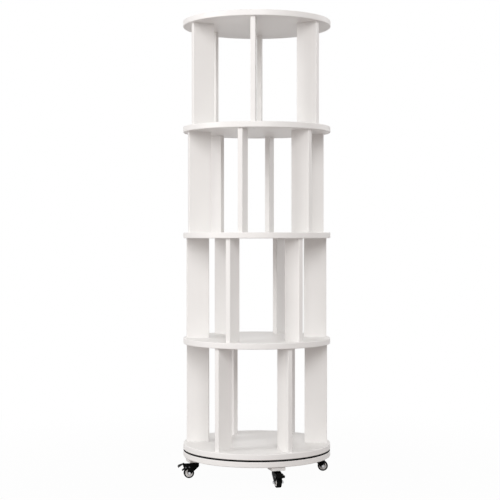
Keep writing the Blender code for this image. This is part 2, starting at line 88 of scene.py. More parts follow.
# Tier under each board, whose screws are capped on its top, and tier above it, screwed from its underside
BOARD_TIERS = {
    "base_board": (None, None),
    "bottom_board": (None, "lower"),
    "lower_shelf": ("lower", "middle"),
    "middle_shelf": ("middle", "upper"),
    "upper_shelf": ("upper", "top"),
    "top_board": ("top", None),
}

# Play between pieces that sit in or on each other
SEAT_GAP = 0.0003
CONTACT_GAP = 0.00005
# How far a cutting shape runs past what it cuts
OVERRUN = 0.002

# Facets round turned pieces, and steps in each rounded corner
BOARD_FACETS = 192
RING_FACETS = 160
WHEEL_FACETS = 96
PIN_FACETS = 40
BALL_FACETS = 32
BALL_BANDS = 16
CORNER_STEPS = 8
BEND_STEPS = 6
BEVEL_STEPS = 2

# Edges steeper than this are rounded by a bevel, or stay sharp in the shading
SHARP_ANGLE = radians(35)
WELD_DISTANCE = 1e-6

# Turns of a fixing that faces up or down
UPWARD = (0.0, 0.0, 0.0)
DOWNWARD = (pi, 0.0, 0.0)

# Share of a rim's rounded edge that is painted near-black inside the turning gap, as painted shade for the
# dark gap between base and bottom board
GAP_SHADE_SHARE = 0.72
# Depth of the tyres' dusty tread, and moulding rings per metre on their sides
TREAD_SKIN = 0.0008
TYRE_RINGS = 1600.0

WHITE = (1.0, 1.0, 1.0)


def length(name, description, default):
    """A size of the bookcase."""
    return FloatProperty(
        name=name,
        description=description,
        default=default,
        min=0.0,
        precision=4,
        subtype="DISTANCE",
        unit="LENGTH",
    )


def angle(name, description, degrees):
    """An angle of the bookcase, written in degrees."""
    return FloatProperty(
        name=name, description=description, default=radians(degrees), subtype="ANGLE", unit="ROTATION"
    )


def colour(name, description, default):
    """A finish's colour."""
    return FloatVectorProperty(
        name=name, description=description, default=default, size=3, min=0.0, max=1.0, subtype="COLOR"
    )


def watts(name, description, default):
    """A lamp's power."""
    return FloatProperty(name=name, description=description, default=default, min=0.0, unit="POWER")


class BoardSizes(PropertyGroup):
    """Sizes of boards and uprights that the frame doesn't give."""

    edge_round: length("Board edge", "Radius of the boards' rounded rims", 0.0025)
    seam_width: length("Seam width", "Width of the line where edging meets board", 0.0003)
    seam_depth: length("Seam depth", "Depth of the line where edging meets board", 0.0002)
    upright_round: length("Upright edge", "Radius of the uprights' long edges", 0.002)


class FixingSizes(PropertyGroup):
    """Sizes of the caps, screws and rivets."""

    spacing: length("Spacing", "Distance between the two fixings of an upright", 0.036)
    cap_diameter: length("Cap", "Diameter of the covers over the screws", 0.012)
    screw_diameter: length("Screw head", "Diameter of the countersunk screw heads", 0.0075)
    block_spread: length("Block screws", "Distance between the screws of a caster block", 0.030)
    rivet_diameter: length("Rivet", "Diameter of the rivet heads on the braked forks", 0.0048)
    seed: IntProperty(name="Seed", description="Turns the screws' cross recesses", default=7, min=0)


class CasterSizes(PropertyGroup):
    """Sizes of the casters that the frame doesn't give."""

    block_round: length("Block corner", "Radius of the caster blocks' upright corners", 0.004)
    block_edge: length("Block edge", "Radius of the caster blocks' other edges", 0.0008)
    fork_sheet: length("Fork sheet", "Thickness of the forks' steel", 0.002)
    fork_boss: length("Fork boss", "Radius of the fork legs round the axle", 0.0055)
    fork_edge: length("Fork edge", "Width of the rolled edges of the steel", 0.0003)
    tyre_depth: length("Tyre depth", "From the tread down to the wheel's core", 0.0045)
    tread_round: length("Tread edge", "Radius of the tyres' shoulders", 0.003)
    hub_diameter: length("Hub", "Diameter of the wheels' hubs", 0.010)
    axle_diameter: length("Axle", "Diameter of the wheels' axles", 0.005)
    brake_sheet: length("Brake sheet", "Thickness of the brake levers' steel", 0.0022)
    brake_width: length("Brake width", "Width of the brake levers between the fork legs", 0.015)
    pedal_width: length("Pedal width", "Width of the pedals at their tips", 0.0258)
    pedal_length: length("Pedal", "Length of the brake levers' pedals", 0.0203)
    pedal_slope: angle("Pedal slope", "How far the pedals point down", 25.0)


class FinishColours(PropertyGroup):
    """Colours of the bookcase's finishes."""

    board: colour("Boards", "Satin lacquer of boards, uprights and blocks", (0.85, 0.84, 0.825))
    cap: colour("Caps", "Plastic covers over the screws", (0.80, 0.80, 0.785))
    # Painted shade: near-black colour given to the faces in the turning gap, standing in for the shade inside
    # it
    gap: colour("Gap", "Sealed faces that meet in the turning gap", (0.006, 0.006, 0.006))
    black_steel: colour("Black steel", "Powder coat of forks and brakes", (0.003, 0.003, 0.003))
    zinc: colour("Zinc", "Plating of axles and screws", (0.55, 0.55, 0.56))
    rivet: colour("Rivets", "Oiled steel of pins and rivets", (0.10, 0.10, 0.104))
    alloy: colour("Alloy", "Turned rings of the turntable", (0.78, 0.78, 0.79))
    ball_steel: colour("Ball steel", "Balls and cage of the turntable", (0.56, 0.57, 0.58))
    tyre: colour("Tyres", "Rubber of the tyres", (0.005, 0.005, 0.005))
    core: colour("Wheel cores", "Moulded nylon of the wheels", (0.87, 0.855, 0.835))
    floor: colour("Floor", "Studio floor", (0.38, 0.345, 0.335))
    air: colour("Air", "Light from all round", (1.0, 0.955, 0.94))


class StageSettings(PropertyGroup):
    """Light and camera of the studio."""

    front_power: watts("Front light", "Large soft light in front", 92.0)
    side_power: watts("Side light", "Large soft light on the left", 66.0)
    top_power: watts("Top light", "Weak soft light overhead", 4.0)
    rear_power: watts("Rear light", "Soft light behind, on the right", 26.0)
    ambient: FloatProperty(
        name="Ambient", description="Strength of the light from all round", default=0.5, min=0.0
    )
    camera_distance: length("Camera distance", "From the turning axis to the camera", 3.93)
    camera_height: length("Camera height", "From the floor to the camera", 0.7587)
    lens: FloatProperty(
        name="Lens",
        description="Focal length of the camera in millimetres",
        default=90.34,
        subtype="DISTANCE_CAMERA",
    )
    tilt: angle("Tilt", "How far the camera looks down", 0.804)
    pan: angle("Pan", "How far the camera looks to the left of the turning axis", 0.309)


class Wire:
    """A node's output in Python arithmetic: each operation on values adds a Math node."""

    def __init__(self, graph, socket):
        self.graph = graph
        self.socket = socket

    def __add__(self, other):
        return self.graph.math("ADD", self, other)

    def __sub__(self, other):
        return self.graph.math("SUBTRACT", self, other)

    def __rsub__(self, other):
        return self.graph.math("SUBTRACT", other, self)

    def __mul__(self, other):
        return self.graph.math("MULTIPLY", self, other)

    def __truediv__(self, other):
        return self.graph.math("DIVIDE", self, other)

    def __pow__(self, power):
        return self.graph.math("POWER", self, power)

    def __gt__(self, level):
        return self.graph.math("GREATER_THAN", self, level)

    __radd__ = __add__
    __rmul__ = __mul__


class Graph:
    """A node tree that is written as expressions."""

    def __init__(self, tree):
        self.tree = tree

    @staticmethod
    def shown(sockets, key):
        """A socket in use, by its name, or by its number where names repeat."""
        used = [socket for socket in sockets if socket.enabled]
        return used[key] if isinstance(key, int) else next(socket for socket in used if socket.name == key)

    def feed(self, socket, value):
        """Give a socket its value, its link, or several links where it takes them."""
        if isinstance(value, Wire):
            self.tree.links.new(value.socket, socket)
        elif isinstance(value, list):
            for wire in value:
                self.tree.links.new(wire.socket, socket)
        else:
            socket.default_value = value

    def node(self, kind, settings=None, sockets=None, output=0):
        """Add a node with its settings, then its sockets' values or links, and give one of its outputs."""
        new = self.tree.nodes.new(kind)
        for name, value in (settings or {}).items():
            setattr(new, name, value)
        for key, value in (sockets or {}).items():
            self.feed(self.shown(new.inputs, key), value)
        return Wire(self, self.shown(new.outputs, output)) if new.outputs else None

    def math(self, operation, *values):
        """A Math node on values."""
        return self.node("ShaderNodeMath", {"operation": operation}, dict(enumerate(values)))

    def mix(self, low, high, factor):
        """A colour between two."""
        ends = [end if isinstance(end, Wire) else (*end, 1.0) for end in (low, high)]
        sockets = {"Factor": factor, "A": ends[0], "B": ends[1]}
        return self.node("ShaderNodeMix", {"data_type": "RGBA"}, sockets)

    def parts(self, vector):
        """The three numbers of a vector."""
        split = self.node("ShaderNodeSeparateXYZ", sockets={"Vector": vector}).socket.node
        return [Wire(self, output) for output in split.outputs]

    def off_axis(self, vector):
        """Distance of a place from its Z axis."""
        x, y, _ = self.parts(vector)
        return (x * x + y * y) ** 0.5


class Finish(Graph):
    """The nodes of one material."""

    def __init__(self, name):
        self.material = bpy.data.materials.new(name)
        self.material.use_nodes = True
        super().__init__(self.material.node_tree)
        self.shader = self.tree.nodes["Principled BSDF"]

    def world_place(self):
        """Place in the frame."""
        return self.node("ShaderNodeTexCoord", output="Object")

    def own_place(self):
        """Place on the bench, which turns with the piece."""
        return self.node("ShaderNodeAttribute", {"attribute_name": "own"}, output="Vector")

    def noise(self, place, per_metre, detail=2.0):
        """Soft noise from 0 to 1."""
        sockets = {"Vector": place, "Scale": per_metre, "Detail": detail}
        return self.node("ShaderNodeTexNoise", sockets=sockets)

    def bump(self, height, depth):
        """Relief of a depth in metres."""
        sockets = {"Height": height, "Distance": depth, "Strength": 1.0}
        return self.node("ShaderNodeBump", sockets=sockets)

    def surface(self, tint, roughness, relief=None, specular=0.5, metallic=0.0):
        """Set the shader's sockets and give the material."""
        sockets = {
            "Base Color": tint,
            "Roughness": roughness,
            "Specular IOR Level": specular,
            "Metallic": metallic,
        }
        if relief:
            sockets["Normal"] = relief
        for name, value in sockets.items():
            self.feed(self.shader.inputs[name], value)
        return self.material


class Recipe(Graph):
    """A geometry node tree with its own inputs, listed by kind, beside geometry and material."""

    def __init__(self, name, inputs):
        super().__init__(bpy.data.node_groups.new(name, "GeometryNodeTree"))
        for kind, labels in {"Geometry": ["Geometry"], "Material": ["Material"], **inputs}.items():
            for label in labels:
                self.tree.interface.new_socket(label, in_out="INPUT", socket_type=f"NodeSocket{kind}")
        self.tree.interface.new_socket("Geometry", in_out="OUTPUT", socket_type="NodeSocketGeometry")
        self.entry = self.tree.nodes.new("NodeGroupInput")

    def given(self, name):
        """One of the tree's inputs."""
        return Wire(self, self.entry.outputs[name])

    def close(self, geometry):
        """End in real faces with the given material."""
        realised = self.node("GeometryNodeRealizeInstances", sockets={"Geometry": geometry})
        sockets = {"Geometry": realised, "Material": self.given("Material")}
        painted = self.node("GeometryNodeSetMaterial", sockets=sockets)
        self.node("NodeGroupOutput", sockets={"Geometry": painted})
        return self.tree

    def keep_own(self, geometry):
        """Store each point's place on the bench."""
        place = self.node("GeometryNodeInputPosition")
        settings = {"data_type": "FLOAT_VECTOR", "domain": "POINT"}
        sockets = {"Geometry": geometry, "Name": "own", "Value": place}
        return self.node("GeometryNodeStoreNamedAttribute", settings, sockets)

    def circle(self, radius):
        """Points round a circle, as many as the input Count, at the radius of a named input."""
        sockets = {"Vertices": self.given("Count"), "Radius": self.given(radius)}
        return self.node("GeometryNodeMeshCircle", sockets=sockets)

    def lifted(self, geometry, level):
        """Geometry raised by a named input."""
        lift = self.node("ShaderNodeCombineXYZ", sockets={"Z": self.given(level)})
        return self.node("GeometryNodeTransform", sockets={"Geometry": geometry, "Translation": lift})

    def turn(self, z):
        """A turn about Z."""
        euler = self.node("ShaderNodeCombineXYZ", sockets={"Z": z})
        return self.node("FunctionNodeEulerToRotation", sockets={"Euler": euler})


def new_object(name, data):
    """An object in the scene."""
    item = bpy.data.objects.new(name, data)
    bpy.context.scene.collection.objects.link(item)
    return item


def modified(mesh, kind, inputs=None, **settings):
    """Run one modifier over a mesh, with a recipe's inputs where it has them, using the mesh up."""
    bench = new_object("bench", mesh)
    modifier = bench.modifiers.new(kind, kind)
    for name, value in settings.items():
        setattr(modifier, name, value)
    for socket, value in (inputs or {}).items():
        modifier[socket] = value
    result = bpy.data.meshes.new_from_object(bench.evaluated_get(bpy.context.evaluated_depsgraph_get()))
    bench.modifiers.remove(modifier)
    bpy.data.objects.remove(bench)
    bpy.data.meshes.remove(mesh)
    return result


def run_recipe(tree, values, mesh=None):
    """Run a geometry tree with its inputs set, and give the result as a plain mesh."""
    sockets = [socket for socket in tree.interface.items_tree if socket.in_out == "INPUT"]
    inputs = {socket.identifier: values[socket.name] for socket in sockets if socket.name in values}
    return modified(mesh or bpy.data.meshes.new("start"), "NODES", inputs, node_group=tree)


def recipe(name, make):
    """A geometry tree by its name, made on first use."""
    return bpy.data.node_groups.get(name) or make(name)


def copies_recipe(name):
    """Copies of a small shape of diameter 1, one at each point, turned as the point says."""
    make = Recipe(name, {"Object": ["Shape"], "Float": ["Diameter"], "Int": ["Seed"]})
    shape = make.node("GeometryNodeObjectInfo", sockets={"Object": make.given("Shape")}, output="Geometry")
    sized = make.node("GeometryNodeTransform", sockets={"Geometry": shape, "Scale": make.given("Diameter")})
    any_turn = {"Min": 0.0, "Max": tau, "Seed": make.given("Seed")}
    spin = make.node("FunctionNodeRandomValue", {"data_type": "FLOAT"}, any_turn)
    seat = make.node("GeometryNodeInputNamedAttribute", {"data_type": "FLOAT_VECTOR"}, {"Name": "turn"})
    seated = make.node("FunctionNodeEulerToRotation", sockets={"Euler": seat})
    both_turns = {"Rotation": seated, "Rotate By": make.turn(spin)}
    turn = make.node("FunctionNodeRotateRotation", {"rotation_space": "LOCAL"}, both_turns)
    sockets = {"Points": make.given("Geometry"), "Instance": make.keep_own(sized), "Rotation": turn}
    return make.close(make.node("GeometryNodeInstanceOnPoints", sockets=sockets))


def upright_ring_recipe(name):
    """A ring of narrow standing panels with rounded long edges, the first one on +X."""
    lengths = ["Mid Radius", "Width", "Thickness", "Foot", "Height", "Edge Round"]
    make = Recipe(name, {"Int": ["Count", "Edge Steps"], "Float": lengths})
    plan = make.node(
        "GeometryNodeCurvePrimitiveQuadrilateral",
        {"mode": "RECTANGLE"},
        {"Width": make.given("Width"), "Height": make.given("Thickness")},
    )
    rounded = make.node(
        "GeometryNodeFilletCurve",
        {"mode": "POLY"},
        {"Curve": plan, "Count": make.given("Edge Steps"), "Radius": make.given("Edge Round")},
    )
    foot = make.node("GeometryNodeFillCurve", {"mode": "NGONS"}, {"Curve": rounded})
    up = make.node("ShaderNodeCombineXYZ", sockets={"Z": 1.0})
    walls = make.node(
        "GeometryNodeExtrudeMesh",
        {"mode": "FACES"},
        {"Mesh": foot, "Offset": up, "Offset Scale": make.given("Height"), "Individual": False},
    )
    sole = make.node("GeometryNodeFlipFaces", sockets={"Mesh": foot})
    joined = make.node("GeometryNodeJoinGeometry", sockets={"Geometry": [walls, sole]})
    panel = make.node("GeometryNodeMergeByDistance", sockets={"Geometry": joined, "Distance": WELD_DISTANCE})
    circle = make.circle("Mid Radius")
    step = make.node("GeometryNodeInputIndex") * tau / make.given("Count")
    ring = make.node(
        "GeometryNodeInstanceOnPoints",
        sockets={"Points": circle, "Instance": make.keep_own(panel), "Rotation": make.turn(step)},
    )
    return make.close(make.lifted(ring, "Foot"))


def ball_ring_recipe(name):
    """Balls spaced round a circle in a thin band that keeps them apart."""
    lengths = ["Circle Radius", "Ball Radius", "Band Thickness", "Band Height", "Level"]
    make = Recipe(name, {"Int": ["Count", "Band Facets"], "Float": lengths})
    circle = make.circle("Circle Radius")
    sphere = {"Segments": BALL_FACETS, "Rings": BALL_BANDS, "Radius": make.given("Ball Radius")}
    ball = make.keep_own(make.node("GeometryNodeMeshUVSphere", sockets=sphere))
    balls = make.node("GeometryNodeInstanceOnPoints", sockets={"Points": circle, "Instance": ball})
    path = make.node(
        "GeometryNodeCurvePrimitiveCircle",
        sockets={"Resolution": make.given("Band Facets"), "Radius": make.given("Circle Radius")},
    )
    section = make.node(
        "GeometryNodeCurvePrimitiveQuadrilateral",
        {"mode": "RECTANGLE"},
        {"Width": make.given("Band Thickness"), "Height": make.given("Band Height")},
    )
    band = make.node("GeometryNodeCurveToMesh", sockets={"Curve": path, "Profile Curve": section})
    joined = make.node("GeometryNodeJoinGeometry", sockets={"Geometry": [balls, make.keep_own(band)]})
    return make.close(make.lifted(joined, "Level"))


def toned(tint, share):
    """A colour made darker or paler."""
    return [share * part for part in tint]


def lacquered_board():
    """White satin lacquer, finely stippled and glossier on the edging, with painted shade: the faces in the
    turning gap are coloured near-black.
    """
    colours = bpy.context.scene.bookcase_colours
    white = colours.board
    edge = bpy.context.scene.bookcase_boards.edge_round
    gap_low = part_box("base_board")[1].z - GAP_SHADE_SHARE * edge / 2
    gap_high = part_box("bottom_board")[0].z + GAP_SHADE_SHARE * edge / 2
    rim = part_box("top_board")[1].x - edge
    finish = Finish("lacquered_board")
    place = finish.world_place()
    mottle = finish.noise(place, per_metre=7.0, detail=3.0)
    stipple = finish.noise(place, per_metre=800.0)
    reach = finish.off_axis(place)
    edging = reach > rim
    level = finish.parts(place)[2]
    # Painted shade: mask of the faces inside the turning gap, which get the near-black gap colour and a
    # duller gloss
    gap_painted_shade = (level > gap_low) * (1 - (level > gap_high)) * (1 - (reach > rim + GAP_SHADE_SHARE * edge))
    lacquer = finish.mix(toned(white, 0.965), white, mottle * 1.4 - 0.2)
    return finish.surface(
        tint=finish.mix(lacquer, colours.gap, gap_painted_shade),
        roughness=0.36 + 0.10 * mottle + 0.05 * stipple - 0.05 * edging + 0.5 * gap_painted_shade,
        relief=finish.bump(stipple, depth=0.00004),
        specular=0.3,
    )


def cap_plastic():
    """Moulded covers over the screws."""
    finish = Finish("cap_plastic")
    grain = finish.noise(finish.own_place(), per_metre=2500.0)
    tint = bpy.context.scene.bookcase_colours.cap
    return finish.surface(
        tint=finish.mix(toned(tint, 0.94), tint, grain),
        roughness=0.40 + 0.12 * grain,
        relief=finish.bump(grain, depth=0.00003),
    )


def powder_coat():
    """Black powder coat with its fine orange peel."""
    black = bpy.context.scene.bookcase_colours.black_steel
    finish = Finish("powder_coat")
    place = finish.own_place()
    peel = finish.noise(place, per_metre=1800.0, detail=3.0)
    scuff = finish.noise(place, per_metre=130.0, detail=4.0)
    return finish.surface(
        tint=finish.mix(black, toned(black, 1.8), scuff),
        roughness=0.38 + 0.16 * scuff,
        relief=finish.bump(peel, depth=0.00005),
        specular=0.02,
    )


def turned_metal(name, tint, roughness, lines_per_metre, depth):
    """Metal with fine rings from the lathe round its own axis."""
    finish = Finish(name)
    place = finish.own_place()
    cloud = finish.noise(place, per_metre=400.0, detail=3.0)
    ridge = finish.math("SINE", finish.off_axis(place) * (tau * lines_per_metre) + cloud * 3.0)
    return finish.surface(
        tint=finish.mix(toned(tint, 0.86), tint, cloud),
        roughness=roughness + 0.14 * cloud,
        relief=finish.bump(ridge, depth=depth),
        metallic=1.0,
    )


def zinc_plate():
    """Bright plating of axles and screws."""
    tint = bpy.context.scene.bookcase_colours.zinc
    return turned_metal("zinc_plate", tint, roughness=0.24, lines_per_metre=4200.0, depth=0.000008)


def rivet_steel():
    """Oiled steel of pins and rivets."""
    tint = bpy.context.scene.bookcase_colours.rivet
    return turned_metal("rivet_steel", tint, roughness=0.40, lines_per_metre=4200.0, depth=0.000008)


def turned_alloy():
    """Turned rings of the turntable."""
    tint = bpy.context.scene.bookcase_colours.alloy
    return turned_metal("turned_alloy", tint, roughness=0.30, lines_per_metre=2500.0, depth=0.00001)


def ball_steel():
    """Polished balls in their cage."""
    tint = bpy.context.scene.bookcase_colours.ball_steel
    return turned_metal("ball_steel", tint, roughness=0.16, lines_per_metre=6000.0, depth=0.000004)


def tyre_rubber():
    """Black rubber with moulding rings on its sides and a little dust on the tread."""
    black = bpy.context.scene.bookcase_colours.tyre
    finish = Finish("tyre_rubber")
    place = finish.own_place()
    radius = finish.off_axis(place)
    dust = finish.noise(place, per_metre=350.0, detail=4.0)
    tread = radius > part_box("front_caster_tyre")[1].z / 2 - TREAD_SKIN
    ridge = finish.math("SINE", radius * (tau * TYRE_RINGS)) * (1 - tread)
    return finish.surface(
        tint=finish.mix(black, toned(black, 2.6), dust * (0.3 + 0.7 * tread)),
        roughness=0.68 + 0.2 * dust,
        relief=finish.bump(ridge * 0.5 + dust, depth=0.00004),
        specular=0.02,
    )


def core_nylon():
    """Pale grey moulded nylon of the wheels' cores."""
    grey = bpy.context.scene.bookcase_colours.core
    finish = Finish("core_nylon")
    place = finish.own_place()
    flow = finish.noise(place, per_metre=260.0, detail=3.0)
    grain = finish.noise(place, per_metre=3000.0)
    return finish.surface(
        tint=finish.mix(toned(grey, 0.9), grey, flow),
        roughness=0.42 + 0.14 * flow,
        relief=finish.bump(grain, depth=0.00003),
    )


def finish_of(make):
    """The material that a finish's function makes, made on first use."""
    return bpy.data.materials.get(make.__name__) or make()


def own_box(node, place):
    """Lowest and highest corner of a CAD node along the axes of its own place."""
    back = place.inverted()
    points = [back @ vertex.co for vertex in NODES[node].data.vertices]
    low = Vector([min(point[axis] for point in points) for axis in range(3)])
    high = Vector([max(point[axis] for point in points) for axis in range(3)])
    return low, high


def outward(point):
    """Turn about the tower's axis that points +X at a place."""
    return Matrix.Rotation(atan2(point.y, point.x), 4, "Z")


def tier_uprights(tier):
    """Names of a tier's uprights in their order round the tower."""
    return sorted(name for name in NODES if name.startswith(f"{tier}_upright_"))


def fixing_points(tier, level):
    """Places of a tier's fixings at a level, two along each upright."""
    spacing = bpy.context.scene.bookcase_fixings.spacing
    points = []
    for name in tier_uprights(tier):
        low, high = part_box(name)
        middle = ((low + high) / 2).xy
        for side in (-0.5, 0.5):
            spot = middle * (1 + side * spacing / middle.length)
            points.append(Vector((spot.x, spot.y, level)))
    return points


def caster_place(caster):
    """Place of a caster: on the floor under its kingpin, +X along its trail."""
    kingpin = Vector(JOINTS[f"{caster}_swivel"]["pos_m"])
    trail = Vector(JOINTS[f"{caster}_roll"]["pos_m"]) - kingpin
    return Matrix.Translation((kingpin.x, kingpin.y, 0.0)) @ outward(trail)


def caster_point(caster, joint):
    """A caster's joint in its own side view: x along the trail, y up from the floor."""
    spot = caster_place(caster).inverted() @ Vector(JOINTS[f"{caster}_{joint}"]["pos_m"])
    return Vector((spot.x, spot.z))


def across(point):
    """Place in a caster's own side view whose Z axis runs along the axle."""
    return Matrix.Translation((point.x, 0.0, point.y)) @ Matrix.Rotation(pi / 2, 4, "X")


def fork_leg(caster):
    """Distance from the middle of a caster to the outside of its fork's legs."""
    return own_box(f"{caster}_caster_fork", caster_place(caster))[1].y


def is_braked(caster):
    """Whether a caster has a foot brake."""
    return f"{caster}_brake_press" in JOINTS


def along(turn, distance):
    """A step in a direction in a plane."""
    return Vector((cos(turn), sin(turn))) * distance


def arc(centre, radius, start, end, steps=CORNER_STEPS):
    """Points along an arc, angles in degrees, both ends included."""
    angles = [radians(start + (end - start) * step / steps) for step in range(steps + 1)]
    return [(centre[0] + radius * cos(turn), centre[1] + radius * sin(turn)) for turn in angles]


def corner(before, at, after, radius, steps=CORNER_STEPS):
    """Points of the arc that rounds the corner between two straight runs."""
    before, at, after = Vector(before), Vector(at), Vector(after)
    back = (before - at).normalized()
    ahead = (after - at).normalized()
    half = acos(back.dot(ahead)) / 2
    centre = at + (back + ahead).normalized() * (radius / sin(half))
    start = at + back * (radius / tan(half)) - centre
    sweep = (pi - 2 * half) * (1 if back.cross(ahead) < 0 else -1)
    turns = [sweep * step / steps for step in range(steps + 1)]
    return [centre + Matrix.Rotation(turn, 2) @ start for turn in turns]


def rounded_rectangle(long, wide, radius, steps=CORNER_STEPS):
    """Outline of a rectangle centred on the origin with rounded corners."""
    x = long / 2 - radius
    y = wide / 2 - radius
    corners = ((x, y, 0), (-x, y, 90), (-x, -y, 180), (x, -y, 270))
    return [point for cx, cy, turn in corners for point in arc((cx, cy), radius, turn, turn + 90, steps)]


def tangent_angle(point, centre, radius, side):
    """Angle in degrees where the line from a point touches a circle, on the left (+1) or right (-1)."""
    offset = Vector(point) - Vector(centre)
    return (atan2(offset.y, offset.x) + side * acos(radius / offset.length)) * 180 / pi


def strip(path, thickness):
    """Outline of a bent sheet of even thickness along a path, with mitred bends."""
    points = [Vector(point) for point in path]
    sides = ([], [])
    for index, point in enumerate(points):
        before = points[index] - points[index - 1] if index else points[1] - points[0]
        after = points[index + 1] - points[index] if index + 1 < len(points) else before
        normals = [Vector((-run.y, run.x)).normalized() for run in (before, after)]
        mitre = (normals[0] + normals[1]).normalized()
        reach = thickness / 2 / mitre.dot(normals[0])
        sides[0].append(point + mitre * reach)
        sides[1].append(point - mitre * reach)
    return sides[0] + sides[1][::-1]


def to_mesh(bm):
    """Close a bmesh into a mesh with its faces pointing out."""
    bmesh.ops.recalc_face_normals(bm, faces=bm.faces)
    mesh = bpy.data.meshes.new("bench")
    bm.to_mesh(mesh)
    bm.free()
    return mesh


def turned(profile, facets, ring=False):
    """Turn a profile of (radius, height) points round Z, closed on itself for a ring, or with flat ends."""
    bm = bmesh.new()
    turns = [tau * step / facets for step in range(facets)]
    circles = [
        [bm.verts.new((radius * cos(turn), radius * sin(turn), height)) for turn in turns]
        for radius, height in profile
    ]
    for near, far in zip(circles, circles[1:] + circles[:1] if ring else circles[1:]):
        for here, there in zip(range(facets), [*range(1, facets), 0]):
            bm.faces.new((near[here], near[there], far[there], far[here]))
    if not ring:
        bm.faces.new(circles[0])
        bm.faces.new(circles[-1])
    return to_mesh(bm)


def slab(outline, thickness, upright=False, taper=1.0):
    """Extrude an outline up from z = 0, or stood upright, its second axis up and centred on y = 0."""
    bm = bmesh.new()
    foot = [bm.verts.new((x, y, 0.0)) for x, y in outline]
    head = [bm.verts.new((x * taper, y * taper, thickness)) for x, y in outline]
    bm.faces.new(foot)
    bm.faces.new(head)
    for here, there in zip(range(len(foot)), [*range(1, len(foot)), 0]):
        bm.faces.new((foot[here], foot[there], head[there], head[here]))
    if upright:
        bm.transform(Matrix.Translation((0.0, thickness / 2, 0.0)) @ Matrix.Rotation(pi / 2, 4, "X"))
    return to_mesh(bm)


def post(radius, bottom, top, facets=PIN_FACETS):
    """A plain cylinder along Z."""
    return turned([(radius, bottom), (radius, top)], facets)


def moved(mesh, matrix):
    """Move a mesh."""
    mesh.transform(matrix)
    return mesh


def raised(mesh, height):
    """Lift a mesh."""
    return moved(mesh, Matrix.Translation((0.0, 0.0, height)))


def combine(mesh, operation, tool):
    """Unite, cut or intersect one mesh with another, using both up."""
    cutter = new_object("cutter", tool)
    result = modified(mesh, "BOOLEAN", operation=operation, solver="EXACT", object=cutter)
    bpy.data.objects.remove(cutter)
    bpy.data.meshes.remove(tool)
    return modified(result, "WELD", merge_threshold=WELD_DISTANCE)


def smoothed(mesh, edge=0.0):
    """Round the sharp edges off, and shade so that flats stay flat."""
    if edge:
        mesh = modified(
            mesh,
            "BEVEL",
            width=edge,
            segments=BEVEL_STEPS,
            limit_method="ANGLE",
            angle_limit=SHARP_ANGLE,
            use_clamp_overlap=False,
        )
    mesh.shade_smooth()
    mesh.set_sharp_from_angle(angle=SHARP_ANGLE)
    return modified(mesh, "WEIGHTED_NORMAL", keep_sharp=True)


def set_in_place(mesh, place):
    """Keep each point's own place as an attribute, then set the mesh where it belongs."""
    own = mesh.attributes.get("own") or mesh.attributes.new("own", "FLOAT_VECTOR", "POINT")
    own.data.foreach_set("vector", [part for vertex in mesh.vertices for part in vertex.co])
    return moved(mesh, place)


def add_piece(name, mesh, body, finish, nodes=()):
    """Show a finished mesh on its CAD body, in place of the CAD nodes that it stands for."""
    mesh.name = name
    mesh.materials.clear()
    mesh.materials.append(finish_of(finish))
    piece = new_object(name, mesh)
    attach(piece, body)
    if nodes:
        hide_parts(*nodes)


def dress(node, mesh, finish):
    """Let a finished mesh stand for one CAD node, on that node's body."""
    add_piece(f"{node}_finished", mesh, NODES[node]["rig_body"], finish, [node])


def copies(shape, seats, diameter, finish):
    """Copies of a small shape of diameter 1 at (point, turn) seats, as one mesh, using the shape up."""
    points = bpy.data.meshes.new("seats")
    points.from_pydata([point for point, _ in seats], [], [])
    turns = points.attributes.new("turn", "FLOAT_VECTOR", "POINT")
    turns.data.foreach_set("vector", [part for _, turn in seats for part in turn])
    pattern = new_object("pattern", shape)
    values = {
        "Shape": pattern,
        "Diameter": diameter,
        "Seed": bpy.context.scene.bookcase_fixings.seed,
        "Material": finish_of(finish),
    }
    result = run_recipe(recipe("Copies at seats", copies_recipe), values, points)
    bpy.data.objects.remove(pattern)
    bpy.data.meshes.remove(shape)
    return result


# Shapes of diameter 1 for the fixings, each with its seat at z = 0
CAP_CROWN = 0.045
CAP_DEPTH = 0.20
CAP_PLAY = 0.02
SCREW_SINK = 0.03
SCREW_CONE = 0.30
SCREW_NECK = 0.26
RECESS_REACH = 0.30
RECESS_HALF_WIDTH = 0.055
RECESS_DEPTH = 0.16
RECESS_TAPER = 0.6
RIVET_RISE = 0.2
SHAPE_RADIUS = 0.5
SHAPE_TIP = 0.02
FIXING_FACETS = 32
# Rings of a dome, from its rim nearly to its crown
DOME_TURNS = [radians(turn) for turn in range(0, 88, 12)]


def cap_shape():
    """A cover pressed into its bore, gently domed and no higher than the board."""
    rise = [(SHAPE_RADIUS * cos(turn), CAP_CROWN * (sin(turn) - 1)) for turn in DOME_TURNS]
    return turned([(SHAPE_RADIUS, -CAP_DEPTH), *rise, (SHAPE_TIP, 0.0)], FIXING_FACETS)


def cap_bore():
    """Bore for a cover."""
    return post(SHAPE_RADIUS + CAP_PLAY, -CAP_DEPTH - CAP_PLAY, CAP_DEPTH, FIXING_FACETS)


def screw_shape():
    """A countersunk screw head with a cross recess."""
    head = [(SHAPE_RADIUS, -2 * SCREW_SINK), (SHAPE_RADIUS, -SCREW_SINK)]
    cone = [(SCREW_NECK, -SCREW_CONE - SCREW_SINK), *head]
    arm = RECESS_HALF_WIDTH
    quarter = [(RECESS_REACH, -arm), (RECESS_REACH, arm), (arm, arm)]
    turns = [Matrix.Rotation(pi / 2 * step, 2) for step in range(4)]
    outline = [turn @ Vector(point) for turn in turns for point in quarter]
    cross = slab(outline, -RECESS_DEPTH - OVERRUN, taper=RECESS_TAPER)
    return combine(turned(cone, FIXING_FACETS), "DIFFERENCE", raised(cross, OVERRUN - SCREW_SINK))


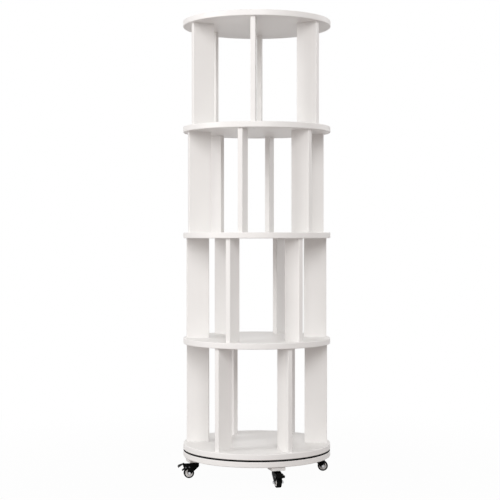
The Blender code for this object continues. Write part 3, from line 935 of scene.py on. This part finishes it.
def screw_bore():
    """Countersink for a screw head."""
    neck = SCREW_NECK + CAP_PLAY
    head = SHAPE_RADIUS + CAP_PLAY
    cone = [(neck, -SCREW_CONE - 2 * SCREW_SINK), (head, -2 * SCREW_SINK), (head, SCREW_CONE)]
    return turned(cone, FIXING_FACETS)


def rivet_shape():
    """A domed rivet head."""
    dome = [(SHAPE_RADIUS * cos(turn), RIVET_RISE * sin(turn)) for turn in DOME_TURNS]
    return turned([*dome, (SHAPE_TIP, RIVET_RISE)], FIXING_FACETS)


def board_seats(board):
    """Seats of a board's caps on its top, and of its screws on its underside."""
    low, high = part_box(board)
    below, above = BOARD_TIERS[board]
    caps = [(point, UPWARD) for point in fixing_points(below, high.z)] if below else []
    screws = [(point, DOWNWARD) for point in fixing_points(above, low.z)] if above else []
    return caps, screws


def seam(radius, level, depth):
    """A fine groove in a board's face, from the outside inwards."""
    half = bpy.context.scene.bookcase_boards.seam_width / 2
    return [(radius + half, level), (radius, level - depth), (radius - half, level)]


def board_mesh(board):
    """A round board: rounded rim, seams of its edging, the bearing's pocket and the bores of its fixings."""
    sizes = bpy.context.scene.bookcase_boards
    fixings = bpy.context.scene.bookcase_fixings
    low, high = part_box(board)
    edge = sizes.edge_round
    inner = high.x - edge
    seam_radius = inner - 2 * sizes.seam_width
    ring_low, ring_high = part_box("bearing_outer_ring")
    pocket = ring_high.x + 2 * SEAT_GAP
    profile = arc((inner, low.z + edge), edge, -90, 0) + arc((inner, high.z - edge), edge, 0, 90)
    profile = seam(seam_radius, low.z, -sizes.seam_depth)[::-1] + profile
    profile += seam(seam_radius, high.z, sizes.seam_depth)
    if board == "bottom_board":
        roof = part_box("bearing_inner_ring")[1].z + SEAT_GAP
        profile = [(pocket, roof), (pocket, low.z)] + profile
    if board == "base_board":
        profile += [(pocket, high.z), (pocket, ring_low.z - SEAT_GAP)]
    mesh = turned(profile, BOARD_FACETS)
    caps, screws = board_seats(board)
    for bore, seats, diameter in (
        (cap_bore, caps, fixings.cap_diameter),
        (screw_bore, screws, fixings.screw_diameter),
    ):
        if seats:
            mesh = combine(mesh, "DIFFERENCE", copies(bore(), seats, diameter, lacquered_board))
    return smoothed(mesh)


class BOOKCASE_OT_boards(Operator):
    """Make the six round boards"""

    bl_idname = "bookcase.boards"
    bl_label = "Boards"

    def execute(self, context):
        for board in BOARD_TIERS:
            mesh = set_in_place(board_mesh(board), Matrix())
            dress(board, mesh, lacquered_board)
        return {"FINISHED"}


class BOOKCASE_OT_uprights(Operator):
    """Make the four rings of uprights"""

    bl_idname = "bookcase.uprights"
    bl_label = "Uprights"

    def execute(self, context):
        for tier in TIERS:
            names = tier_uprights(tier)
            first = outward(sum(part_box(names[0]), Vector()))
            low, high = own_box(names[0], first)
            reach = SEAT_GAP - CONTACT_GAP
            values = {
                "Count": len(names),
                "Mid Radius": (low.x + high.x) / 2,
                "Width": high.x - low.x,
                "Thickness": high.y - low.y,
                "Foot": low.z - reach,
                "Height": high.z - low.z + 2 * reach,
                "Edge Round": context.scene.bookcase_boards.upright_round,
                "Edge Steps": CORNER_STEPS,
                "Material": finish_of(lacquered_board),
            }
            ring = run_recipe(recipe("Ring of uprights", upright_ring_recipe), values)
            mesh = moved(smoothed(ring), first)
            body = NODES[names[0]]["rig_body"]
            add_piece(f"{tier}_uprights", mesh, body, lacquered_board, names)
        return {"FINISHED"}


class BOOKCASE_OT_fixings(Operator):
    """Make the covers and screws of the boards"""

    bl_idname = "bookcase.fixings"
    bl_label = "Caps and screws"

    def execute(self, context):
        sizes = context.scene.bookcase_fixings
        seats = [board_seats(board) for board in BOARD_TIERS]
        caps = [seat for above, _ in seats for seat in above]
        screws = [seat for _, below in seats for seat in below]
        covers = copies(cap_shape(), caps, sizes.cap_diameter, cap_plastic)
        add_piece("screw_covers", smoothed(covers), "tower", cap_plastic)
        heads = copies(screw_shape(), screws, sizes.screw_diameter, zinc_plate)
        add_piece("board_screws", smoothed(heads), "tower", zinc_plate)
        return {"FINISHED"}


# Turntable, measured from the balls
BALL_COUNT = 12
BALL_RADIUS = 0.0025
RACE_GAP = 0.0024
GROOVE_REACH = 0.0038
RACE_HALF_HEIGHT = 0.0026
CAGE_THICKNESS = 0.001
CAGE_HEIGHT = 0.0024
RING_CHAMFER = 0.0004


def ball_circle():
    """Radius of the circle that the balls run on, and width of the rings on either side of it."""
    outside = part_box("bearing_outer_ring")[1].x
    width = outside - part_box("bearing_inner_ring")[1].x - RACE_GAP
    return outside - width - RACE_GAP / 2, width


def bearing_ring_mesh(node, side):
    """A turned ring with a V groove for the balls, on the outside (+1) or inside (-1) of them."""
    level = JOINTS["turntable_spin"]["pos_m"][2]
    low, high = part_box(node)
    circle, width = ball_circle()
    race = circle + side * RACE_GAP / 2
    back = race + side * width
    inset = race + side * RING_CHAMFER
    heel = back - side * RING_CHAMFER
    profile = [
        (heel, high.z),
        (back, high.z - RING_CHAMFER),
        (back, low.z + RING_CHAMFER),
        (heel, low.z),
        (inset, low.z),
        (race, low.z + RING_CHAMFER),
        (race, level - RACE_HALF_HEIGHT),
        (circle + side * GROOVE_REACH, level),
        (race, level + RACE_HALF_HEIGHT),
        (race, high.z - RING_CHAMFER),
        (inset, high.z),
    ]
    return turned(profile, RING_FACETS, ring=True)


class BOOKCASE_OT_turntable(Operator):
    """Make the bearing's two rings and its balls"""

    bl_idname = "bookcase.turntable"
    bl_label = "Turntable"

    def execute(self, context):
        for node, side in (("bearing_outer_ring", 1), ("bearing_inner_ring", -1)):
            mesh = set_in_place(smoothed(bearing_ring_mesh(node, side)), Matrix())
            dress(node, mesh, turned_alloy)
        values = {
            "Count": BALL_COUNT,
            "Circle Radius": ball_circle()[0],
            "Ball Radius": BALL_RADIUS,
            "Band Thickness": CAGE_THICKNESS,
            "Band Height": CAGE_HEIGHT,
            "Band Facets": RING_FACETS,
            "Level": JOINTS["turntable_spin"]["pos_m"][2],
            "Material": finish_of(ball_steel),
        }
        cage = run_recipe(recipe("Ball ring", ball_ring_recipe), values)
        dress("bearing_ball_cage", smoothed(cage), ball_steel)
        return {"FINISHED"}


# Stem with flange and riveted kingpin
STEM_RADIUS = 0.004
KINGPIN_RADIUS = 0.0035
RIVET_RADIUS = 0.0055
FLANGE_THICKNESS = 0.0025
STEM_CHAMFER = 0.0008


class BOOKCASE_OT_caster_blocks(Operator):
    """Make the blocks over the casters, with their screws"""

    bl_idname = "bookcase.caster_blocks"
    bl_label = "Caster blocks"

    def execute(self, context):
        sizes = context.scene.bookcase_casters
        fixings = context.scene.bookcase_fixings
        spread = fixings.block_spread / 2
        seats = []
        for caster in CASTERS:
            node = f"{caster}_caster_block"
            middle = sum(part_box(node), Vector()) / 2
            place = Matrix.Translation((middle.x, middle.y, 0.0)) @ outward(middle)
            low, high = own_box(node, place)
            outline = rounded_rectangle(high.x - low.x, high.y - low.y, sizes.block_round)
            block = raised(slab(outline, high.z - low.z), low.z)
            bore = post(STEM_RADIUS + SEAT_GAP, low.z - OVERRUN, high.z + OVERRUN)
            corners = [(x, y) for x in (-spread, spread) for y in (-spread, spread)]
            own_seats = [(Vector((x, y, low.z)), DOWNWARD) for x, y in corners]
            sinks = copies(screw_bore(), own_seats, fixings.screw_diameter, lacquered_board)
            mesh = smoothed(combine(smoothed(block, sizes.block_edge), "DIFFERENCE", bore))
            mesh = smoothed(combine(mesh, "DIFFERENCE", sinks))
            dress(node, set_in_place(mesh, place), lacquered_board)
            seats += [(place @ point, turn) for point, turn in own_seats]
        heads = copies(screw_shape(), seats, fixings.screw_diameter, zinc_plate)
        add_piece("block_screws", smoothed(heads), "base", zinc_plate)
        return {"FINISHED"}


class BOOKCASE_OT_caster_stems(Operator):
    """Make the casters' stems, with their flanges and riveted kingpins"""

    bl_idname = "bookcase.caster_stems"
    bl_label = "Caster stems"

    def execute(self, context):
        sheet = context.scene.bookcase_casters.fork_sheet
        for caster in CASTERS:
            node = f"{caster}_caster_stem"
            place = caster_place(caster)
            low, high = own_box(node, place)
            crown_top = own_box(f"{caster}_caster_fork", place)[1].z
            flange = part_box(node)[1].x - place.translation.x
            underside = crown_top + SEAT_GAP
            seat = underside + FLANGE_THICKNESS
            rivet_top = crown_top - sheet - SEAT_GAP
            profile = [
                (RIVET_RADIUS - STEM_CHAMFER, low.z),
                (RIVET_RADIUS, low.z + STEM_CHAMFER),
                (RIVET_RADIUS, rivet_top),
                (KINGPIN_RADIUS, rivet_top),
                (KINGPIN_RADIUS, underside),
                *arc((flange - STEM_CHAMFER, underside + STEM_CHAMFER), STEM_CHAMFER, -90, 0),
                (flange, seat),
                (STEM_RADIUS, seat),
                (STEM_RADIUS, high.z - STEM_CHAMFER),
                (STEM_RADIUS - STEM_CHAMFER, high.z),
            ]
            mesh = set_in_place(smoothed(turned(profile, PIN_FACETS)), place)
            dress(node, mesh, powder_coat)
        return {"FINISHED"}


# Fork, in the caster's side view
FORK_BEND = 0.001
FORK_BACK = 0.0125
FORK_SHOULDER = 0.0105
FORK_BACK_DROP = 0.003
FORK_CORNER = 0.003
EAR_RADIUS = 0.0052
EAR_NOTCH = 0.0042
EAR_DROP = 0.004
EAR_LEAN = 0.008
EAR_CORNER = 0.0012
HEEL_LENGTH = 0.013
HEEL_INSET = 0.0003
KINGPIN_HOLE = KINGPIN_RADIUS + SEAT_GAP
# Stop pin of the brake, from the axle
STOP_FORWARD = -0.0007
STOP_RISE = 0.0187
BRAKE_PIN_RADIUS = 0.0015


def fork_section(outside, crown_top, sheet):
    """Cross-section of a fork: a sheet bent down into two legs."""
    inside = outside - sheet
    bend = FORK_BEND + sheet
    outer = arc((outside - bend, crown_top - bend), bend, 0, 90, BEND_STEPS)
    inner = arc((inside - FORK_BEND, crown_top - bend), FORK_BEND, 90, 0, BEND_STEPS)
    right = [(inside, -OVERRUN), (outside, -OVERRUN), *outer]
    left = [(-x, z) for x, z in right[::-1]]
    under = [(-x, z) for x, z in inner[::-1]] + inner
    return right + left + under


def fork_lead(caster, front, crown_top, boss):
    """Leading edge of a fork in side view, round under the crown, and the angle where it meets the boss."""
    axle = caster_point(caster, "roll")
    chin = (-front, crown_top - FORK_SHOULDER)
    meets = tangent_angle(chin, axle, boss, 1)
    knuckle = axle + along(radians(meets), boss)
    return [*corner((-front, crown_top), chin, knuckle, FORK_CORNER), knuckle], meets


def fork_silhouette(caster, front, crown_top, boss):
    """Side view of a fork: crown, legs that taper to the axle boss, and ears for a brake."""
    axle = caster_point(caster, "roll")
    lead, meets = fork_lead(caster, front, crown_top, boss)
    over = crown_top + OVERRUN
    back = [(axle.x + boss, crown_top - FORK_SHOULDER), (FORK_BACK, crown_top - FORK_BACK_DROP)]
    if is_braked(caster):
        pivot = caster_point(caster, "brake_press")
        ear_top = crown_top - EAR_DROP
        notch = (axle.x + EAR_NOTCH, pivot.y - EAR_RADIUS)
        ear_end = (pivot.x + EAR_RADIUS, pivot.y)
        ear_tip = (pivot.x + EAR_LEAN, ear_top)
        ear = corner(ear_end, ear_tip, (FORK_BACK, ear_top), EAR_CORNER)
        back = [notch, *arc(pivot, EAR_RADIUS, -90, 0), *ear, (FORK_BACK, ear_top)]
    leaves = tangent_angle(back[0], axle, boss, -1) + 360
    round_boss = arc(axle, boss, meets, leaves, 3 * CORNER_STEPS)
    return [(-front, over), *lead[:-1], *round_boss, *back, (FORK_BACK, over)]


def fork_heel(lead, crown_top, sheet):
    """Side view of the wall that closes a fork between its legs, along their leading edge."""
    top = Vector((lead[0].x, crown_top - sheet / 2))
    foot = lead[-2] + (lead[-1] - lead[-2]).normalized() * HEEL_LENGTH
    face = [top, *lead[:-1], foot]
    outside, inside = [strip(face, 2 * depth)[: len(face)] for depth in (HEEL_INSET, HEEL_INSET + sheet)]
    return inside + outside[::-1]


def fork_mesh(caster, place):
    """A stamped fork with holes for kingpin and axle, and for the brake's pin where it has ears."""
    sizes = bpy.context.scene.bookcase_casters
    low, high = own_box(f"{caster}_caster_fork", place)
    reach = high.x - low.x
    channel = slab(fork_section(high.y, high.z, sizes.fork_sheet), 4 * reach)
    along_x = Matrix(((0, 0, 1, -2 * reach), (1, 0, 0, 0), (0, 1, 0, 0), (0, 0, 0, 1)))
    side = fork_silhouette(caster, -low.x, high.z, sizes.fork_boss)
    half = high.y + OVERRUN
    fork = combine(moved(channel, along_x), "INTERSECT", slab(side, 2 * half, upright=True))
    lead, _ = fork_lead(caster, -low.x, high.z, sizes.fork_boss)
    heel = slab(fork_heel(lead, high.z, sizes.fork_sheet), 2 * high.y - sizes.fork_sheet, upright=True)
    fork = combine(fork, "UNION", heel)
    fork = combine(fork, "DIFFERENCE", post(KINGPIN_HOLE, high.z - 2 * OVERRUN, high.z + OVERRUN))
    holes = [(caster_point(caster, "roll"), sizes.axle_diameter / 2)]
    if is_braked(caster):
        holes.append((caster_point(caster, "brake_press"), BRAKE_PIN_RADIUS))
    for point, radius in holes:
        fork = combine(fork, "DIFFERENCE", moved(post(radius + SEAT_GAP, -half, half), across(point)))
    return smoothed(fork, sizes.fork_edge)


def stop_pin_mesh(caster):
    """Shank and two riveted heads of the pin that stops a brake."""
    axle = caster_point(caster, "roll")
    point = axle + Vector((STOP_FORWARD, STOP_RISE))
    leg = fork_leg(caster)
    diameter = bpy.context.scene.bookcase_fixings.rivet_diameter
    seats = [(Vector((point.x, side * leg, point.y)), (-side * pi / 2, 0.0, 0.0)) for side in (-1, 1)]
    heads = copies(rivet_shape(), seats, diameter, rivet_steel)
    shank = moved(post(BRAKE_PIN_RADIUS, -leg - CONTACT_GAP, leg + CONTACT_GAP), across(point))
    return combine(heads, "UNION", shank)


class BOOKCASE_OT_caster_forks(Operator):
    """Make the casters' stamped forks"""

    bl_idname = "bookcase.caster_forks"
    bl_label = "Caster forks"

    def execute(self, context):
        for caster in CASTERS:
            fork = f"{caster}_fork"
            place = caster_place(caster)
            mesh = set_in_place(fork_mesh(caster, place), place)
            dress(f"{caster}_caster_fork", mesh, powder_coat)
            if is_braked(caster):
                pin = set_in_place(smoothed(stop_pin_mesh(caster)), place)
                add_piece(f"{caster}_caster_stop_pin", pin, fork, rivet_steel)
        return {"FINISHED"}


# Wheels
PARTING_DEPTH = 0.0002
PARTING_HALF_WIDTH = 0.0003
PARTING_FLOOR = 0.0001
CORE_RIM_RECESS = 0.0008
CORE_RIM_DEPTH = 0.0015
CORE_WEB = 0.0105
CORE_FILLET = 0.0008
HUB_EDGE = 0.0004
# Axle: hexagon head, washer, nut and the bolt's end
HEX_ROUND = 0.0005
WASHER_THICKNESS = 0.0006
WASHER_SHARE = 0.93
BOLT_END_PROUD = 0.0005


def mirrored(half):
    """A turned profile from its upper half, both halves alike."""
    return half + [(radius, -height) for radius, height in half[::-1]]


def tyre_mesh(radius, width, sizes):
    """A tyre with rounded shoulders and a fine parting line round its tread."""
    half = width / 2
    inside = radius - sizes.tyre_depth + SEAT_GAP
    middle = radius - sizes.tread_round
    shoulder = arc((middle, half - sizes.tread_round), sizes.tread_round, 90, 0)
    bead = arc((inside + CORE_FILLET, half - CORE_FILLET), CORE_FILLET, 180, 90)
    parting = [(radius, PARTING_HALF_WIDTH), (radius - PARTING_DEPTH, PARTING_FLOOR)]
    return turned(mirrored([*bead, *shoulder, *parting]), WHEEL_FACETS, ring=True)


def core_mesh(radius, width, sizes):
    """A moulded core: bored hub, dished web and rim, with soft inside corners."""
    hub = sizes.hub_diameter / 2
    bore = sizes.axle_diameter / 2 + SEAT_GAP
    rim = width / 2 - CORE_RIM_RECESS
    rim_inside = radius - CORE_RIM_DEPTH
    web = CORE_WEB / 2
    hub_top = width / 2 + CORE_RIM_RECESS / 2
    lip = corner((radius, rim), (rim_inside, rim), (rim_inside - CORE_RIM_DEPTH, web), CORE_FILLET / 2)
    dish = corner((rim_inside, rim), (rim_inside - 2 * CORE_RIM_DEPTH, web), (hub, web), CORE_FILLET)
    root = corner((rim_inside, web), (hub, web), (hub, hub_top), CORE_FILLET)
    crown = arc((hub - HUB_EDGE, hub_top - HUB_EDGE), HUB_EDGE, 0, 90)
    profile = [(radius, rim), *lip, *dish, *root, *crown, (bore, hub_top)]
    return turned(mirrored(profile), WHEEL_FACETS, ring=True)


def hexagon(radius, bottom, top):
    """A nut or bolt head with its corners turned off, inside a given radius."""
    corners = [(radius * cos(pi / 3 * side), radius * sin(pi / 3 * side)) for side in range(6)]
    cone = [(radius, bottom), (radius, top - HEX_ROUND), (radius * cos(pi / 6) - HEX_ROUND / 2, top)]
    prism = raised(slab(corners, top - bottom), bottom)
    return combine(prism, "INTERSECT", turned(cone, PIN_FACETS))


def axle_mesh(leg, end, head, shaft):
    """Wheel bolt: hexagon head and washer at one end, washer, nut and the bolt's end at the other."""
    seat = leg + SEAT_GAP
    washer = seat + WASHER_THICKNESS
    rim = head * WASHER_SHARE
    profile = [(shaft, seat), (rim, seat), (rim, washer), (shaft, washer)]
    bolt = turned(mirrored([(shaft - HUB_EDGE, end), (shaft, end - HUB_EDGE), *profile[::-1]]), PIN_FACETS)
    nut = hexagon(head, washer - CONTACT_GAP, end - BOLT_END_PROUD)
    bolt_head = moved(hexagon(head, washer - CONTACT_GAP, end), Matrix.Rotation(pi, 4, "X"))
    return combine(combine(bolt, "UNION", nut), "UNION", bolt_head)


class BOOKCASE_OT_caster_wheels(Operator):
    """Make the casters' tyres, cores and axles"""

    bl_idname = "bookcase.caster_wheels"
    bl_label = "Caster wheels"

    def execute(self, context):
        sizes = context.scene.bookcase_casters
        for caster in CASTERS:
            place = caster_place(caster)
            axle = caster_point(caster, "roll")
            spot = place @ across(axle)
            tyre_low, tyre_high = own_box(f"{caster}_caster_tyre", place)
            width = tyre_high.y - tyre_low.y
            leg = fork_leg(caster)
            axle_low, axle_high = own_box(f"{caster}_caster_axle", place)
            head = (axle_high.x - axle_low.x) / 2
            tyre = smoothed(tyre_mesh(axle.y, width, sizes))
            core = smoothed(core_mesh(axle.y - sizes.tyre_depth, width, sizes))
            bolt = smoothed(axle_mesh(leg, axle_high.y, head, sizes.axle_diameter / 2))
            for part, mesh, slot, finish in (
                ("tyre", tyre, "black_tyre", tyre_rubber),
                ("core", core, "grey_core", core_nylon),
                ("axle", bolt, "zinc_steel", zinc_plate),
            ):
                dress(f"{caster}_caster_{part}", set_in_place(mesh, spot), finish)
        return {"FINISHED"}


# Brake lever, from its pivot
NECK_FORWARD = 0.0035
NECK_RISE = 0.0115
SHOE_GAP = 0.0024
SHOE_ANGLE = radians(42)
RELEASE_LENGTH = 0.0085
RELEASE_SLOPE = radians(-40)
LEVER_BEND = 0.002
LIP_DROP = 0.0027
PEDAL_FLARE_START = 0.0108
PEDAL_TIP_ROUND = 0.005
BOSS_RADIUS = 0.003
BOSS_PROUD = 0.0005
PIN_HEAD_RADIUS = 0.0026
PIN_HEAD_LENGTH = 0.001
# Grip ribs across the pedal
RIB_COUNT = 4
RIB_PITCH = 0.0032
RIB_FOOT = 0.0008
RIB_CREST = 0.0005
RIB_HEIGHT = 0.0007
RIB_FROM_LIP = 0.0012


def lever_path(caster, sizes):
    """Bent line of a brake lever from its pedal's lip to its release tab, measured from its pivot."""
    axle = caster_point(caster, "roll")
    pivot = caster_point(caster, "brake_press")
    neck = Vector((NECK_FORWARD, NECK_RISE))
    knee = axle + along(SHOE_ANGLE, axle.y + SHOE_GAP + sizes.brake_sheet / 2) - pivot
    tip = neck + along(-sizes.pedal_slope, sizes.pedal_length)
    stops = [
        tip - Vector((0.0, LIP_DROP)),
        tip,
        neck,
        Vector((0.0, 0.0)),
        knee,
        knee + along(RELEASE_SLOPE, RELEASE_LENGTH),
    ]
    bends = [corner(*stops[at - 1 : at + 2], LEVER_BEND) for at in (1, 2, 4)]
    return [stops[0], *bends[0], *bends[1], stops[3], *bends[2], stops[5]]


def ribbed(outline):
    """Raise grip ribs on the pedal's upper side, between its bends at neck and lip."""
    at = len(outline) - CORNER_STEPS - 2
    neck, lip = outline[at - 1 : at + 1]
    run = (lip - neck).normalized()
    rise = Vector((-run.y, run.x)) * RIB_HEIGHT
    ribs = []
    for number in reversed(range(RIB_COUNT)):
        middle = lip - run * (RIB_FROM_LIP + number * RIB_PITCH)
        crest = middle + rise
        ribs += [middle - run * RIB_FOOT, crest - run * RIB_CREST]
        ribs += [crest + run * RIB_CREST, middle + run * RIB_FOOT]
    return [*outline[:at], *ribs, *outline[at:]]


def pedal_plan(reach, sizes):
    """Plan of a brake lever: even between the fork legs, then flared to a round-cornered pedal tip."""
    narrow = sizes.brake_width / 2
    corner_x = reach - PEDAL_TIP_ROUND
    corner_y = sizes.pedal_width / 2 - PEDAL_TIP_ROUND
    near_tip = arc((corner_x, -corner_y), PEDAL_TIP_ROUND, -90, 0)
    far_tip = arc((corner_x, corner_y), PEDAL_TIP_ROUND, 0, 90)
    near_side = [(-reach, -narrow), (PEDAL_FLARE_START, -narrow)]
    far_side = [(PEDAL_FLARE_START, narrow), (-reach, narrow)]
    return near_side + near_tip + far_tip + far_side


def lever_mesh(caster, sizes):
    """A brake lever: bent sheet with a flared pedal, grip ribs and the pivot's boss."""
    path = lever_path(caster, sizes)
    lever = slab(ribbed(strip(path, sizes.brake_sheet)), sizes.pedal_width + 2 * OVERRUN, upright=True)
    reach = path[0].x + sizes.brake_sheet / 2
    plan = slab(pedal_plan(reach, sizes), 4 * reach)
    lever = combine(lever, "INTERSECT", raised(plan, -2 * reach))
    half = sizes.brake_width / 2 + BOSS_PROUD
    boss = moved(post(BOSS_RADIUS, -half, half), across(Vector((0.0, 0.0))))
    return smoothed(combine(lever, "UNION", boss), sizes.fork_edge)


def pin_mesh(leg):
    """The pin that a brake lever turns on, with a riveted head outside each leg."""
    seat = leg + SEAT_GAP
    end = seat + PIN_HEAD_LENGTH
    head = arc((PIN_HEAD_RADIUS - PIN_HEAD_LENGTH / 2, end - PIN_HEAD_LENGTH / 2), PIN_HEAD_LENGTH / 2, 90, 0)
    half = [*head, (PIN_HEAD_RADIUS, seat), (BRAKE_PIN_RADIUS, seat)]
    return turned(mirrored(half), PIN_FACETS)


class BOOKCASE_OT_caster_brakes(Operator):
    """Make the foot brakes and their pins"""

    bl_idname = "bookcase.caster_brakes"
    bl_label = "Caster brakes"

    def execute(self, context):
        sizes = context.scene.bookcase_casters
        for caster in filter(is_braked, CASTERS):
            place = caster_place(caster)
            pivot = caster_point(caster, "brake_press")
            spot = place @ Matrix.Translation((pivot.x, 0.0, pivot.y))
            lever = set_in_place(lever_mesh(caster, sizes), spot)
            node = f"{caster}_caster_brake"
            dress(node, lever, powder_coat)
            leg = fork_leg(caster)
            pin = set_in_place(smoothed(pin_mesh(leg)), place @ across(pivot))
            add_piece(f"{node}_pin", pin, NODES[node]["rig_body"], rivet_steel)
        return {"FINISHED"}


# Studio
FLOOR_RADIUS = 14.0
FLOOR_FACETS = 96
SHADOW_NEAR = 0.45
SHADOW_FAR = 1.6
SHADOW_SHARE = 0.025
LIGHT_TARGET = Vector((0.0, 0.0, 0.75))
# Place of each lamp, and its width and height
LAMPS = {
    "front": ((0.4, -4.2, 2.5), (2.0, 2.2)),
    "side": ((-3.5, -1.4, 1.8), (1.8, 2.4)),
    "top": ((0.0, 0.0, 3.2), (1.6, 1.6)),
    "rear": ((3.2, 2.2, 2.0), (1.8, 2.4)),
}


def seen_directly(graph):
    """1 for rays that show the backdrop itself: from the camera, off gloss or through glass."""
    kinds = ("Camera", "Glossy", "Transmission")
    camera, gloss, glass = [graph.node("ShaderNodeLightPath", output=f"Is {kind} Ray") for kind in kinds]
    return graph.math("MAXIMUM", graph.math("MAXIMUM", camera, gloss), glass)


def studio_floor():
    """A pale floor that keeps the shadow near the bookcase and reads as white paper further out."""
    finish = Finish("studio_floor")
    reach = finish.off_axis(finish.world_place())
    fade = {
        "Value": reach,
        "From Min": SHADOW_NEAR,
        "From Max": SHADOW_FAR,
        "To Min": 1 - SHADOW_SHARE,
        "To Max": 1.0,
    }
    away = finish.node("ShaderNodeMapRange", {"interpolation_type": "SMOOTHSTEP"}, fade)
    white = finish.node("ShaderNodeEmission", sockets={"Color": (*WHITE, 1.0), "Strength": 1.0})
    finish.surface(tint=(*bpy.context.scene.bookcase_colours.floor, 1.0), roughness=0.9)
    pale = Wire(finish, finish.shader.outputs["BSDF"])
    mixed = finish.node("ShaderNodeMixShader", sockets={0: seen_directly(finish) * away, 1: pale, 2: white})
    finish.feed(finish.tree.nodes["Material Output"].inputs["Surface"], mixed)
    return finish.material


def add_floor():
    """A round floor under the bookcase."""
    disc = arc((0, 0), FLOOR_RADIUS, 0, 360, FLOOR_FACETS)[:-1]
    floor = new_object("floor", slab(disc, -OVERRUN))
    floor.data.materials.append(studio_floor())


def add_lamp(name, power, place, size):
    """A large soft lamp that faces the bookcase."""
    data = bpy.data.lights.new(name, "AREA")
    data.shape = "RECTANGLE"
    data.size, data.size_y = size
    data.energy = power
    lamp = new_object(name, data)
    lamp.location = place
    lamp.rotation_euler = (LIGHT_TARGET - Vector(place)).to_track_quat("-Z", "Y").to_euler()
    lamp.visible_camera = False


def add_sky(ambient):
    """Soft light from all round, whose backdrop shows as plain white."""
    scene = bpy.context.scene
    scene.world = bpy.data.worlds.new("studio")
    scene.world.use_nodes = True
    sky = Graph(scene.world.node_tree)
    backdrop = seen_directly(sky)
    background = sky.tree.nodes["Background"]
    sky.feed(background.inputs["Color"], sky.mix(scene.bookcase_colours.air, WHITE, backdrop))
    sky.feed(background.inputs["Strength"], ambient + (1 - ambient) * backdrop)


def add_camera(stage):
    """The camera in front of the bookcase."""
    camera = new_object("camera", bpy.data.cameras.new("camera"))
    camera.data.lens = stage.lens
    camera.location = (0.0, -stage.camera_distance, stage.camera_height)
    camera.rotation_euler = (pi / 2 - stage.tilt, 0.0, stage.pan)
    bpy.context.scene.camera = camera


class BOOKCASE_OT_stage(Operator):
    """Set up floor, light and camera"""

    bl_idname = "bookcase.stage"
    bl_label = "Stage"

    def execute(self, context):
        stage = context.scene.bookcase_stage
        add_floor()
        for name, (place, size) in LAMPS.items():
            add_lamp(f"{name}_light", getattr(stage, f"{name}_power"), place, size)
        add_sky(stage.ambient)
        add_camera(stage)
        context.scene.view_settings.view_transform = "Standard"
        return {"FINISHED"}


SETTINGS = {
    "bookcase_boards": BoardSizes,
    "bookcase_fixings": FixingSizes,
    "bookcase_casters": CasterSizes,
    "bookcase_colours": FinishColours,
    "bookcase_stage": StageSettings,
}
OPERATORS = (
    BOOKCASE_OT_boards,
    BOOKCASE_OT_uprights,
    BOOKCASE_OT_fixings,
    BOOKCASE_OT_turntable,
    BOOKCASE_OT_caster_blocks,
    BOOKCASE_OT_caster_stems,
    BOOKCASE_OT_caster_forks,
    BOOKCASE_OT_caster_wheels,
    BOOKCASE_OT_caster_brakes,
    BOOKCASE_OT_stage,
)


class BOOKCASE_PT_pieces(Panel):
    """Lists the bookcase's pieces and their sizes"""

    bl_label = "Revolving bookcase"
    bl_space_type = "VIEW_3D"
    bl_region_type = "UI"
    bl_category = "Bookcase"

    def draw(self, context):
        for operator in OPERATORS:
            self.layout.operator(operator.bl_idname)
        for name, group in SETTINGS.items():
            box = self.layout.box()
            for size in group.__annotations__:
                box.prop(getattr(context.scene, name), size)


CLASSES = (*SETTINGS.values(), *OPERATORS, BOOKCASE_PT_pieces)


def register():
    """Register the classes and hang the settings on the scene."""
    for item in CLASSES:
        bpy.utils.register_class(item)
    for name, group in SETTINGS.items():
        setattr(bpy.types.Scene, name, PointerProperty(type=group))


def unregister():
    """Take the settings and classes away again."""
    for name in SETTINGS:
        delattr(bpy.types.Scene, name)
    for item in reversed(CLASSES):
        bpy.utils.unregister_class(item)


def main():
    """Dress the whole bookcase."""
    register()
    bpy.ops.bookcase.boards()
    bpy.ops.bookcase.uprights()
    bpy.ops.bookcase.fixings()
    bpy.ops.bookcase.turntable()
    bpy.ops.bookcase.caster_blocks()
    bpy.ops.bookcase.caster_stems()
    bpy.ops.bookcase.caster_forks()
    bpy.ops.bookcase.caster_wheels()
    bpy.ops.bookcase.caster_brakes()
    bpy.ops.bookcase.stage()


if __name__ == "__main__":
    main()
